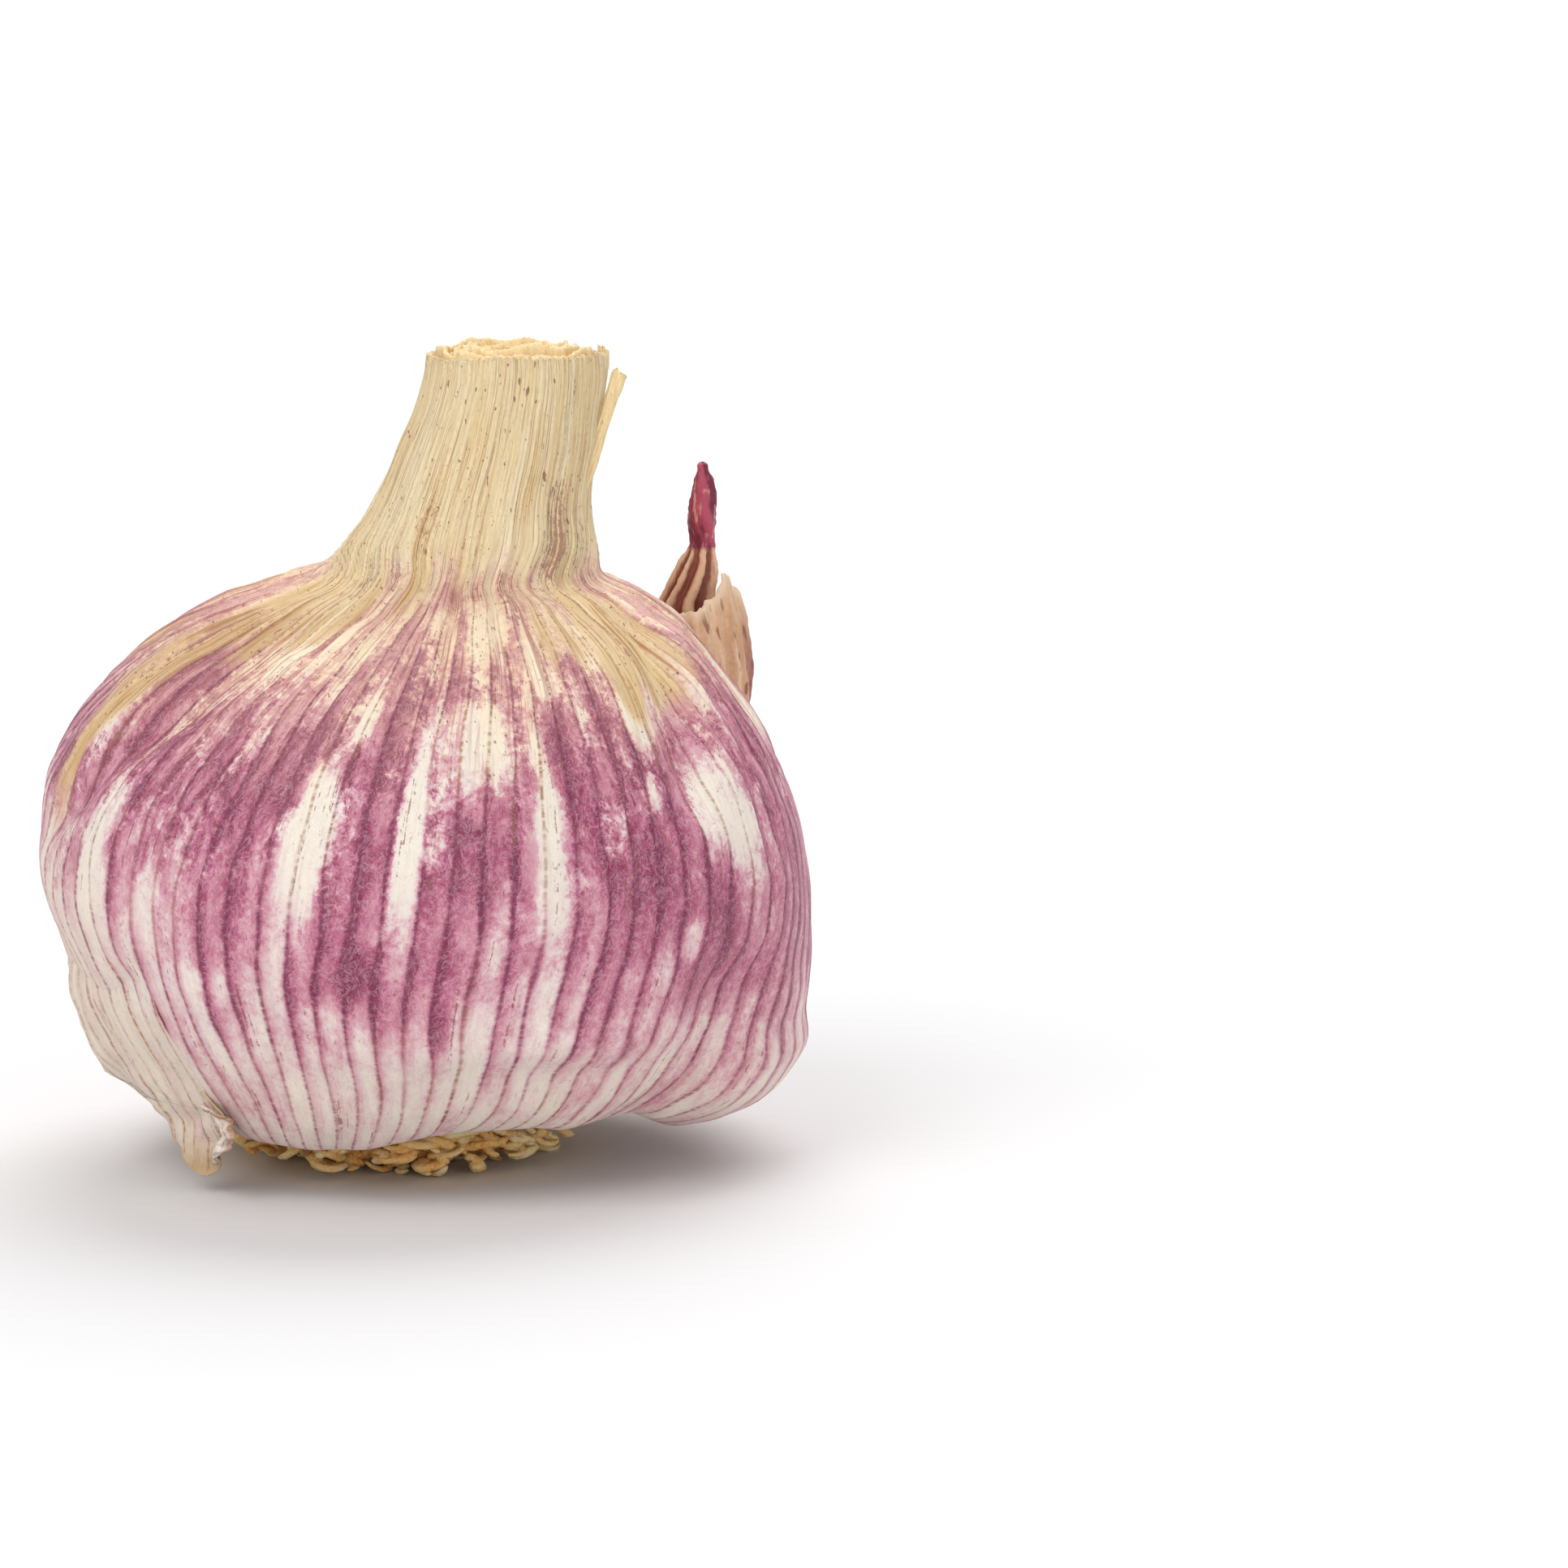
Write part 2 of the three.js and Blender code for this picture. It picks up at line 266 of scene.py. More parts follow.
def new_piece(name, points, wrap=False, poles=False, ring=False, uv=None, layers=None, copies=1):
    """Makes an object from points[..., row, column, xyz] in millimetres. With poles, a point at the
    middle of the first row and of the last closes the ends. Leading copies are joined into one mesh."""
    grids = points.reshape((copies,) + points.shape[-3:])
    rows, columns = grids.shape[1:3]
    quads, marks, fans = grid_faces(rows, columns, wrap, poles, ring)
    flat = grids.reshape(copies, rows * columns, 3)
    if poles:
        ends = np.stack([grids[:, 0].mean(1), grids[:, -1].mean(1)], 1)
        flat = np.concatenate([flat, ends], 1)
    each = flat.shape[1]
    shift = (np.arange(copies) * each)[:, None, None]
    four = (quads[None] + shift).reshape(-1, 4)
    three = (fans[None] + shift).reshape(-1, 3)
    corners = np.concatenate([four.ravel(), three.ravel()]).astype(np.int32)
    sizes = np.concatenate([np.full(len(four), 4), np.full(len(three), 3)])
    mesh = bpy.data.meshes.new(name)
    mesh.vertices.add(copies * each)
    mesh.vertices.foreach_set("co", (flat * MM).ravel())
    mesh.loops.add(len(corners))
    mesh.loops.foreach_set("vertex_index", corners)
    mesh.polygons.add(len(sizes))
    mesh.polygons.foreach_set("loop_start", np.concatenate([[0], np.cumsum(sizes)[:-1]]).astype(np.int32))
    mesh.update(calc_edges=True)
    mesh.polygons.foreach_set("use_smooth", np.ones(len(sizes), bool))
    if uv is not None:
        corner_uv = np.zeros((len(corners), 2))
        corner_uv[: four.size] = np.tile(uv.reshape(-1, 2)[marks.ravel()], (copies, 1))
        mesh.uv_layers.new(name="UVMap").data.foreach_set("uv", corner_uv.ravel())
    for layer, values in (layers or {}).items():
        store_layer(mesh, layer, values, copies, rows * columns, each)
    piece = bpy.data.objects.new(name, mesh)
    bpy.context.collection.objects.link(piece)
    return piece


def store_layer(mesh, layer, values, copies, on_grid, each):
    """Stores one number or one vector for each vertex. The poles take the value of a grid corner."""
    wide = values.ndim and values.shape[-1] == 3 and layer.endswith("_place")
    width = 3 if wide else 1
    table = np.zeros((copies, each, width))
    table[:, :on_grid] = values.reshape(copies, on_grid, width)
    if each > on_grid:
        table[:, on_grid] = table[:, 0]
        table[:, on_grid + 1] = table[:, on_grid - 1]
    kind, key = ("FLOAT_VECTOR", "vector") if wide else ("FLOAT", "value")
    mesh.attributes.new(layer, kind, "POINT").data.foreach_set(key, table.ravel())


# %% [markdown]
# Which way is out. To raise a rib or a pleat, each point is pushed along the surface's own normal.
# The normal is the cross product of the steps to the neighbours along the two directions of the grid.


# %% Normals of a grid
def grid_normals(points, wrap):
    """The cross product of the step across and the step along, made one long, at each grid point."""
    along = np.gradient(points, axis=0)
    if wrap:
        across = np.roll(points, -1, 1) - np.roll(points, 1, 1)
    else:
        across = np.gradient(points, axis=1)
    normal = np.cross(across, along)
    return normal / np.maximum(np.linalg.norm(normal, axis=-1, keepdims=True), 1e-9)


# %% [markdown]
# Relief of the skin. Up close the skin isn't smooth. Each vein is a low rib, the neck is a bundle of
# fibres, the shoulders are drawn up into pleats where the wide bulb meets the narrow neck, and the
# belly is gently uneven. A bump map could fake the finest of it, but the ribs and pleats show in the
# outline, so they are real.


# %% Ribs, pleats and fibres
def vein_rib(vein, radius, width):
    """A bell curve across each vein: the distance to the nearest vein, over the width, squared."""
    cell = vein / (2 * np.pi) * VEINS
    away = np.abs(cell - np.round(cell)) * (2 * np.pi * radius / VEINS)
    return bell(away / width)


def fibre_waves(vein, run, counts, seed):
    """A few sine waves round the skin, whole numbers of turns, that slide a little along their run."""
    rng = np.random.default_rng(seed)
    total = np.zeros(np.broadcast(vein, run).shape)
    for count in counts:
        slide = rng.uniform(-0.6, 0.6) * np.sin(run / rng.uniform(5, 11) + rng.uniform(0, 6))
        total += np.sin(count * vein + rng.uniform(0, 6) + slide)
    return total / len(counts)


def relief(vein, run, radius, z, place):
    """How far the skin stands out, in millimetres: ribs, neck fibres, pleats and soft dents, summed."""
    rib = vein_rib(vein, radius, 0.35) * (0.05 + 0.07 * smooth(30, 45, z)) * smooth(3, 8, z)
    fibres = 0.055 * fibre_waves(vein, run, (97, 131, 149, 173), 3) * smooth(45, 50, z)
    coarse = 0.18 * fibre_waves(vein, run, (11, 17, 23, 31), 4) * smooth(41, 48, z)
    coarse = coarse * (1 - 0.7 * smooth(50, 56, z))
    pleats = 0.45 * fibre_waves(vein, run, (19, 27, 38, 46), 5) * smooth(36, 43, z)
    pleats = pleats * (1 - smooth(46, 52, z))
    below_neck = 1 - smooth(43, 47, z)
    left_band = bell((np.degrees(vein) + 66) / 13) * smooth(26, 34, z) * below_neck
    right_band = bell((np.degrees(vein) - 68) / 14) * smooth(30, 36, z) * below_neck
    creases = 0.38 * fibre_waves(vein, run, (52, 67, 90), 6) * (left_band + right_band)
    dents = 0.22 * uneven(place, 17, 7) * (1 - smooth(44, 48, z)) + 0.07 * uneven(place, 4.5, 8)
    return rib + fibres + coarse + pleats + creases + dents


# %% [markdown]
# Pigment on the skin. Purple garlic is coloured in patches: a band of dense purple round the upper
# belly, broken by pale windows between the veins, fading to white with thin purple veins below and to
# straw above. The patches that matter are listed one by one, by vein angle and height, and the back
# gets a scatter of the same kind. The fine, ragged edges come later, in the material.

# %% Patches of pigment
PURPLE_BY_HEIGHT = [
    (3, 0.10), (9, 0.14), (13, 0.24), (17, 0.46), (21, 0.63), (26, 0.69), (31, 0.62), (36, 0.58),
    (40, 0.59), (43, 0.56), (46, 0.42), (48, 0.18), (50, 0.03),
]
# Vein angle in degrees, height, half-width in degrees, half-height, and how much more or less purple.
FRONT_PATCHES = [
    (7, 29.5, 1.9, 5.0, -0.95), (29, 28, 2.2, 6.6, -0.95), (-9, 29, 3.4, 5.2, -0.85),
    (-12, 20, 3, 6, -0.35),
    (-5, 37.6, 1.6, 1.9, -0.7), (64, 29, 6, 3.6, -0.6), (66, 23.5, 4, 3, -0.4), (52, 36.8, 4.5, 1.9, -0.6),
    (-48, 25, 3.4, 6.5, -0.8), (-36, 22, 6, 6, -0.55), (-28, 22, 2.4, 6, -0.3), (17, 43, 5, 1.6, -0.6),
    (22, 43, 2.5, 3, -0.5), (31, 41, 2.4, 2.2, -0.6), (15, 36, 9, 3, -0.33), (-34, 41.5, 15, 3.2, -0.32),
    (60, 41.5, 13, 3.4, -0.45), (20, 15, 2.6, 8, -0.35), (12, 12, 2.5, 6, -0.3), (3, 12, 2.5, 5, -0.2),
    (55, 20.5, 2.6, 1.8, -0.5), (48, 31, 2, 1.4, -0.3), (-68, 16, 24, 13, -0.5), (8, 21, 2.2, 3, -0.2),
    (-45, 33, 8, 3.2, 0.18), (-26, 33, 12, 2.6, 0.22), (-20, 26.5, 4, 5, 0.2), (1, 31, 3.4, 11, 0.28),
    (1, 18.8, 3.6, 2.4, 0.9), (17, 27, 7, 4, 0.15), (41, 31, 9, 8, 0.22), (48, 24, 4, 5, 0.28),
    (60, 20, 5, 6, 0.5), (83, 27, 9, 11, 0.2), (-56, 40, 5, 4, 0.25), (-75, 34, 5, 4, 0.2),
    (15.5, 14.7, 2, 2.1, 0.55), (45, 15, 6, 4, 0.15), (-24, 18, 2, 5, 0.2), (33, 34, 3, 3.5, 0.25),
    (72, 13, 10, 7, 0.25), (84, 14, 4, 6, 0.2), (-4, 23, 2, 3, 0.15),
]
BACK_PATCHES = 46


def patch_sum(patches, vein_degrees, z):
    """Adds up the patches. Each is flat in the middle and falls off like a bell on an oval."""
    total = np.zeros(z.shape)
    for middle, height, half_width, half_height, amount in patches:
        across = ((vein_degrees - middle + 180) % 360 - 180) / half_width
        oval = across**2 + ((z - height) / half_height) ** 2
        total += amount * np.exp(-(oval**1.5))
    return total


def back_patches():
    """Random patches round the back: narrow and tall, more often pale than purple."""
    rng = np.random.default_rng(21)
    pale = rng.uniform(size=BACK_PATCHES) < 0.55
    return np.stack([
        rng.uniform(95, 268, BACK_PATCHES), rng.uniform(10, 42, BACK_PATCHES),
        rng.uniform(1.8, 5.5, BACK_PATCHES), rng.uniform(2, 7.5, BACK_PATCHES),
        np.where(pale, rng.uniform(-1, -0.4, BACK_PATCHES), rng.uniform(0.15, 0.4, BACK_PATCHES)),
    ], 1)


# Straw-coloured dry skin, brown stains and worn skin, in the same five numbers.
STRAW_PATCHES = [
    (-72, 40, 14, 7, 0.7), (-70, 31, 5, 6, 0.5), (-48, 44.5, 20, 3.2, 0.7), (66, 42.0, 21, 5.6, 0.85),
    (38, 44.5, 8, 4.5, 0.5), (-20, 45.2, 9, 1.8, 0.35), (10, 45.5, 9, 2.4, 0.3), (52, 39, 3, 5, 0.4),
    (190, 43, 30, 3.5, 0.5), (250, 42, 22, 5, 0.5), (120, 43, 16, 3, 0.4),
]
STAIN_PATCHES = [
    (-16, 50.0, 5, 4.2, 1.05), (53, 49.6, 9, 4.4, 1.05), (72, 49.0, 12, 2.4, 0.6), (1, 46.6, 2, 2.2, 0.6),
    (-69, 39, 3.5, 5.5, 0.75), (-46, 45.5, 6, 1.8, 0.5), (57, 46.5, 6, 2, 0.6), (170, 49, 8, 3, 0.8),
    (230, 48, 6, 4, 0.6), (118, 40, 4, 5, 0.6), (38, 55.5, 3, 2.2, 0.5), (30, 45, 5, 4, 0.35),
    (60, 53, 6, 5, 0.45), (-62, 43, 12, 2, 0.5), (-38, 47.0, 12, 1.8, 0.45), (12, 48, 5, 2, 0.4),
]
WORN_PATCHES = [
    (-70, 14, 29, 12, 0.85), (-20, 4, 60, 9, 0.45), (60, 6, 40, 8, 0.4), (180, 5, 70, 9, 0.5),
]


def pigment_layers(vein, z):
    """The amounts of purple, straw, stain and wear at each point, before the fine grain."""
    degrees = np.degrees(vein)
    purple = through(PURPLE_BY_HEIGHT, z)
    purple = purple + patch_sum(FRONT_PATCHES, degrees, z) + patch_sum(back_patches(), degrees, z)
    straw = smooth(45, 50.5, z) + patch_sum(STRAW_PATCHES, degrees, z)
    stain = patch_sum(STAIN_PATCHES, degrees, z)
    worn = patch_sum(WORN_PATCHES, degrees, z)
    return {"purple": purple, "straw": straw, "stain": stain, "worn": worn}


# %% [markdown]
# The wrapped bulb. The skin is one surface from under the belly to the cut of the neck, over its
# ragged rim and down inside, where the nested sheaths stand. Rows are spread by the length of the
# outline, so its squares are about the same size everywhere.

# %% Build the skin
AROUND, ALONG = 640, 132
RIM_WALL = 0.5
MOUTH_DEPTH = 5.5


def outline_run(t):
    """The length of the outline from its start to each t, by adding up short chords."""
    fine = np.linspace(0, 1, 4001)
    chords = np.linalg.norm(np.diff(curve(SKIN_OUTLINE, fine), axis=0), axis=1)
    return np.interp(t, fine, np.concatenate([[0], np.cumsum(chords)]))


def even_steps(count):
    """Values of t that are evenly spaced by length along the outline."""
    fine = np.linspace(0, 1, 4001)
    return np.interp(np.linspace(0, outline_run(1.0), count), outline_run(fine), fine)


def cut_height(angle):
    """How far the cut rim stands above or below its mean: low waves and fine fibre ends."""
    waves = 0.16 * np.sin(2 * angle + 0.7) + 0.10 * np.sin(5 * angle + 2)
    ends = 0.10 * np.sin(61 * angle + 2 * np.sin(9 * angle)) + 0.09 * np.sin(97 * angle + 1)
    return waves + ends


def skin_grid():
    """The points of the skin, with the vein angle, run and height that they were made from."""
    angle = -np.pi + full_turn(AROUND)
    t = even_steps(ALONG)[:, None]
    radius, z = np.moveaxis(curve(SKIN_OUTLINE, t), -1, 0)
    vein = vein_angle(angle[None], radius, z)
    run = outline_run(t) + 0 * vein
    form = skin_form(angle[None], t)
    stand = relief(vein, run, radius, z, form)
    points = form + stand[..., None] * grid_normals(form, True)
    points[..., 2] += cut_height(angle)[None] * smooth(57, neck_top, z)
    return points, vein, run, z + 0 * vein


def down_the_mouth(points, centre, depths, walls):
    """Rows that go over the rim and down inside: each is the top row, moved in and down."""
    rim = points[-1]
    flat = rim - centre
    inward = -flat / np.linalg.norm(flat[..., :2], axis=-1, keepdims=True)
    inward[..., 2] = 0
    down = np.array([0, 0, 1.0])
    return np.stack([rim + inward * wall - down * depth for wall, depth in zip(walls, depths)])


skin_points, skin_vein, skin_run, skin_z = skin_grid()
neck_centre = np.array([through(LEAN, neck_top), 0, neck_top])
mouth_depths = [-0.02, 0.0, 0.12, 0.6, 1.5, 3.0, MOUTH_DEPTH]
mouth_walls = [0.12, 0.35, RIM_WALL, 0.6, 0.62, 0.64, 0.7]
mouth = down_the_mouth(skin_points, neck_centre, mouth_depths, mouth_walls)
all_points = np.concatenate([skin_points, mouth])
inside = np.arange(1, len(mouth) + 1)[:, None]
all_vein = np.concatenate([skin_vein, skin_vein[-1] + 0 * inside])
all_run = np.concatenate([skin_run, skin_run[-1] + inside * 0.5])
all_z = np.concatenate([skin_z, skin_z[-1] + 0 * inside])
print("skin:", all_points.shape[:2], "rows and columns, up to", all_points[..., 2].max().round(2), "mm")

# %% Store what the skin's material reads
RUN_UNIT = 100  # millimetres of run for one unit of V


def vein_uv(vein, run):
    """U is turns round the bulb by vein angle, and V is the run. One more column closes the turn."""
    closed = np.concatenate([vein, vein[:, :1] + 2 * np.pi], 1)
    return np.stack([closed / (2 * np.pi), np.concatenate([run, run[:, :1]], 1) / RUN_UNIT], -1)


def open_uv(vein, run):
    """The same for a sheet with two free edges. It has the extra column too, which no face uses."""
    uv = np.stack([vein / (2 * np.pi), run / RUN_UNIT], -1)
    return np.concatenate([uv, uv[:, -1:]], 1)


skin_layers = pigment_layers(all_vein, all_z)
skin_layers["sheet_place"] = sheet_place(all_vein, all_run)
skin_uv = vein_uv(all_vein, all_run)
skin = new_piece("bulb_skin", all_points, wrap=True, poles=True, uv=skin_uv, layers=skin_layers)
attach(skin, "root")
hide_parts("wrapped_bulb")
print("bulb_skin:", len(skin.data.polygons), "faces")

# %% [markdown]
# The loose flap. At the lower left the outermost skin has come away from the bulb and hangs down to a
# torn tip. It is the same skin with the same veins, so it is a grid in the same angle and height, with
# a radius of its own. At its top it sinks under the skin, and its colours blend into the skin's, so no
# seam shows. Solidify gives it the thickness of a dry skin.

# %% Shape of the flap
FLAP_RADIUS = [(1.4, 22.4), (4, 24.5), (6.5, 26.2), (9.5, 27.7), (13, 28.9), (16, 29.3), (20.5, 28.3)]
FLAP_LEFT = [
    (1.4, -41), (1.8, -44), (2.6, -47.5), (3.6, -50.5), (5.9, -55.5), (6.8, -58), (7.1, -67), (7.5, -75),
    (8.8, -82), (10.5, -91), (14, -97), (20.5, -104),
]
FLAP_RIGHT = [
    (1.4, -40), (1.9, -38.5), (3, -38), (4.4, -37), (6, -35.5), (8.2, -40), (11.5, -42.8),
    (15, -45.2), (20.5, -45),
]
FLAP_LOW, FLAP_HIGH = 1.4, 20.5
FLAP_PROUD, FLAP_SUNK = 0.22, 0.8  # how far it lies over the skin at its edge, and under it at its top
SKIN_THICKNESS = 0.18
RISING = np.linspace(0.13, 1, 2000)  # the outline above its lowest line


def torn(place, seed):
    """A torn edge: three sine waves of falling length, the finest a fifth of the coarsest."""
    rng = np.random.default_rng(seed)
    phase = rng.uniform(0, 6, 4)
    coarse = np.sin(place * 1.1 + phase[0]) + 0.6 * np.sin(place * 2.7 + phase[1])
    return (coarse + 0.35 * np.sin(place * 6.1 + phase[2]) + 0.2 * np.sin(place * 14.3 + phase[3])) / 2


def skin_radius(angle, z):
    """The bulb's radius above its lowest line: the outline's, less the dip at that angle and height."""
    fine = curve(SKIN_OUTLINE, RISING)
    radius = np.interp(z, fine[:, 1], fine[:, 0])
    return radius - dip(angle, z, radius)


def run_at_height(z):
    """The skin's run at a height above its lowest line, and straight on below it."""
    height = curve(SKIN_OUTLINE, RISING)[:, 1]
    return np.interp(z, height, outline_run(RISING)) + np.minimum(z - height[0], 0)


def flap_grid(rows, columns):
    """Rows go up and columns go from the left edge to the right, and both edges are torn. The right
    edge lies on the bulb's skin, the top sinks under it, and the rest hangs free."""
    z = FLAP_LOW + (FLAP_HIGH - FLAP_LOW) * np.linspace(0, 1, rows)[:, None] ** 1.25
    u = np.linspace(0, 1, columns)[None]
    free = through(FLAP_RADIUS, z)
    left = through(FLAP_LEFT, z) + np.degrees(0.3 * torn(z, 1) / free)
    right = through(FLAP_RIGHT, z) + np.degrees(0.15 * torn(z, 2) / free)
    angle = np.radians(left + (right - left) * u)
    lying = smooth(0.35, 0.97, u) * smooth(6, 9.5, z)
    place = placed(angle, free, z)
    ripple = 0.28 * uneven(place, 9, 31) + 0.10 * uneven(place, 3, 32)
    hanging = free + ripple * smooth(20, 14, z) * (1 - lying)
    on_skin = skin_radius(angle, z)
    radius = hanging + (on_skin + FLAP_PROUD - hanging) * lying
    radius = radius + (on_skin - FLAP_SUNK - radius) * smooth(13.5, 18.5, z)
    vein = vein_angle(angle, radius, z)
    radius = radius + 0.10 * vein_rib(vein, radius, 0.3)
    edge = smooth(0.86, 1.0, np.abs(u - 0.5) * 2) * smooth(11, 7, z) + smooth(4.0, 1.6, z)
    return placed(angle, radius, z), vein, z + 0 * vein, np.clip(edge, 0, 1)


def thicken(piece, thickness):
    """Adds a Solidify modifier that thickens inwards, given in millimetres."""
    wall = piece.modifiers.new("thickness", "SOLIDIFY")
    wall.thickness = thickness * MM
    wall.offset = -1


# %% Build the flap
flap_points, flap_vein, flap_z, flap_edge = flap_grid(110, 120)
flap_run = run_at_height(flap_z)
flap_layers = pigment_layers(flap_vein, flap_z)
faded = smooth(17, 11, flap_z)
flap_layers["purple"] = flap_layers["purple"] * (1 - 0.75 * faded) - 0.1 * faded
flap_layers["straw"] = 0.16 * faded + 0.5 * smooth(8, 2, flap_z)
flap_layers["worn"] = flap_layers["worn"] + (0.95 - flap_layers["worn"]) * faded
flap_layers["edge"] = flap_edge
flap_layers["sheet_place"] = sheet_place(flap_vein, flap_run)
flap = new_piece("loose_flap", flap_points, uv=open_uv(flap_vein, flap_run), layers=flap_layers)
thicken(flap, SKIN_THICKNESS)
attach(flap, "root")
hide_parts("loose_skin_flap")
print("loose_flap:", np.ptp(flap_points[..., 0]).round(1), "mm across")

# %% [markdown]
# The fold beside the flap's tip. A scrap of the same skin has curled forward there. It is a short
# strip that starts along the flap's right edge and bends out and back, so it catches the light.

# %% Build the fold
def plain_layers(purple, straw, worn, edge, place):
    """Layers for a scrap with no patches: one amount all over, except for the browned edge."""
    amounts = {"purple": purple, "straw": straw, "stain": 0.0, "worn": worn}
    layers = {name: np.full(edge.shape, amount) for name, amount in amounts.items()}
    return {**layers, "edge": edge, "sheet_place": place}


def fold_grid(rows, columns):
    """A strip from the flap's right edge, about 3 mm wide at most, that bends forward and crumples."""
    z = np.linspace(2.6, 7.6, rows)[:, None]
    u = np.linspace(0, 1, columns)[None]
    width = 2.3 * np.sin(np.pi * np.clip((z - 2.0) / 6.4, 0, 1)) ** 0.7 + 0.3 * torn(z * 1.9, 5)
    angle = np.radians(through(FLAP_RIGHT, z) - 2.0)
    start = placed(angle, through(FLAP_RADIUS, z) + 0.05, z)
    outward = xyz(np.sin(angle), -np.cos(angle), 0 * angle)
    sideways = xyz(np.cos(angle), np.sin(angle), 0 * angle)
    crumple = 0.28 * np.sin(z * 3.1 + 4 * u) + 0.14 * np.sin(z * 7.3 - 5 * u)
    out = width * (0.35 * u + 0.35 * np.sin(np.pi * u)) + crumple * u
    side = width * u * 0.85 + 0.15 * np.sin(z * 5) * u
    points = start + out[..., None] * outward + side[..., None] * sideways
    points[..., 2] += 0.25 * torn(u * 5 + z, 6) * u
    return points, z + 0 * u, u + 0 * z


fold_points, fold_z, fold_u = fold_grid(48, 28)
fold_vein = np.radians(-38 + 5 * fold_u) + 0 * fold_z
fold_edge = smooth(0.72, 1.0, fold_u) * 0.9
fold_layers = plain_layers(-0.2, 0.12, 0.4, fold_edge, sheet_place(fold_vein, fold_z))
fold = new_piece("flap_fold", fold_points, uv=open_uv(fold_vein, fold_z), layers=fold_layers)
thicken(fold, SKIN_THICKNESS)
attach(fold, "root")
print("flap_fold:", np.ptp(fold_points[..., 2]).round(1), "mm tall")

# %% [markdown]
# The mouth of the neck. Under the outer sheath stand more dry leaf sheaths, one inside the next, cut
# at about the same height with wavy, frayed edges. Each CAD ring stands for two thin ones. A ring's
# section goes up outside, over the edge and down inside, and it is carried round the neck while its
# radius and its height waver. The quill in the middle is a leaf rolled up, so it is a spiral sheet.

# %% Rings of leaf sheath
RING_THICKNESS = 0.34
RING_FOOT = neck_top - 5.6


def ring_grid(radius, top, seed, columns=360):
    """The section of a thin wall, carried round: radius and height are waves of the angle."""
    rng = np.random.default_rng(seed)
    phase = rng.uniform(0, 6.28, 6)
    angle = (-np.pi + full_turn(columns))[None]
    wobble = 0.045 * np.sin(2 * angle + phase[0]) + 0.035 * np.sin(5 * angle + phase[1])
    wobble = wobble + 0.022 * np.sin(11 * angle + phase[2]) + 0.010 * np.sin(29 * angle + phase[3])
    rim = 0.22 * np.sin(2 * angle + phase[4]) + 0.16 * np.sin(5 * angle + phase[5])
    rim = rim + 0.07 * np.sin(13 * angle + 2 * np.sin(3 * angle)) + 0.04 * np.sin(61 * angle)
    half = RING_THICKNESS / 2
    section = np.array([
        (half, 0), (half, 0.3), (half, 0.6), (half, 0.85), (half, 0.95), (half * 0.8, 0.99), (0, 1.0),
        (-half * 0.8, 0.99), (-half, 0.95), (-half, 0.85), (-half, 0.6), (-half, 0.3), (-half, 0),
    ])
    up = section[:, 1:2]
    z = RING_FOOT + (top + rim - RING_FOOT) * up
    flare = 1 + 0.05 * up**3 * np.sin(3 * angle + phase[1])
    wide = radius * (1 + wobble * (0.4 + 0.6 * up)) * flare + section[:, :1]
    return placed(angle, wide, z)


# %% Build the nested sheaths
SHEATHS = (
    ("neck_sheath_1", 5.75, 5.15, 0.35),
    ("neck_sheath_2", 4.45, 3.80, 0.75),
    ("neck_sheath_3", 3.10, 2.50, 0.50),
)  # node, two radii, and how far the edge stands over the cut
INNER_DROP = 0.15  # how much lower the inner ring of a pair stands
sheaths = []
for count, (node, outer_radius, inner_radius, over) in enumerate(SHEATHS):
    top = neck_top + over
    outer = ring_grid(outer_radius, top, 41 + count)
    inner = ring_grid(inner_radius, top - INNER_DROP, 61 + count)
    rings = np.stack([outer, inner])
    piece = new_piece("leaf_" + node, rings, wrap=True, ring=True, copies=2)
    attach(piece, "root")
    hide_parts(node)
    sheaths.append(piece)
    print(piece.name, "top", rings[..., 2].max().round(2), "mm")


# %% Build the rolled leaf
ROLL_TURNS = 2.5
LEAF_THICKNESS = 0.22


def roll_grid(rows, columns):
    """A spiral: the radius grows with the angle, and the top edge wavers."""
    turn = np.linspace(0, ROLL_TURNS * 2 * np.pi, columns)[None]
    up = np.linspace(0, 1, rows)[:, None]
    radius = 0.35 + 0.105 * turn + 0.06 * np.sin(turn * 2.3) * up
    top = neck_top + 0.25 + 0.3 * np.sin(turn * 0.9 + 1) + 0.10 * np.sin(turn * 7)
    return placed(turn, radius, RING_FOOT + (top - RING_FOOT) * up)


roll = new_piece("rolled_quill", roll_grid(14, 200))
thicken(roll, LEAF_THICKNESS)
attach(roll, "root")
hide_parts("rolled_leaf")
sheaths.append(roll)
print("rolled_quill:", ROLL_TURNS, "turns")

# %% [markdown]
# Strips along a path. The splinter of the neck and the stubs of the roots are all short strips or
# tubes. One function carries an oval section along a row of points: at each point it finds the
# direction of travel, and two directions square to it that the oval is drawn in.


# %% Carry an oval along a path
def oval_tube(path, wide, thick, sides, reference):
    """Points = path + side x wide x cosine + up x thick x sine. path is [..., row, xyz]."""
    travel = np.gradient(path, axis=-2)
    travel /= np.maximum(np.linalg.norm(travel, axis=-1, keepdims=True), 1e-9)
    side = np.cross(travel, reference)
    side /= np.maximum(np.linalg.norm(side, axis=-1, keepdims=True), 1e-9)
    up = np.cross(side, travel)
    turn = full_turn(sides)
    a = np.asarray(wide)[..., None, None] * np.cos(turn)[:, None]
    b = np.asarray(thick)[..., None, None] * np.sin(turn)[:, None]
    return path[..., None, :] + a * side[..., None, :] + b * up[..., None, :]


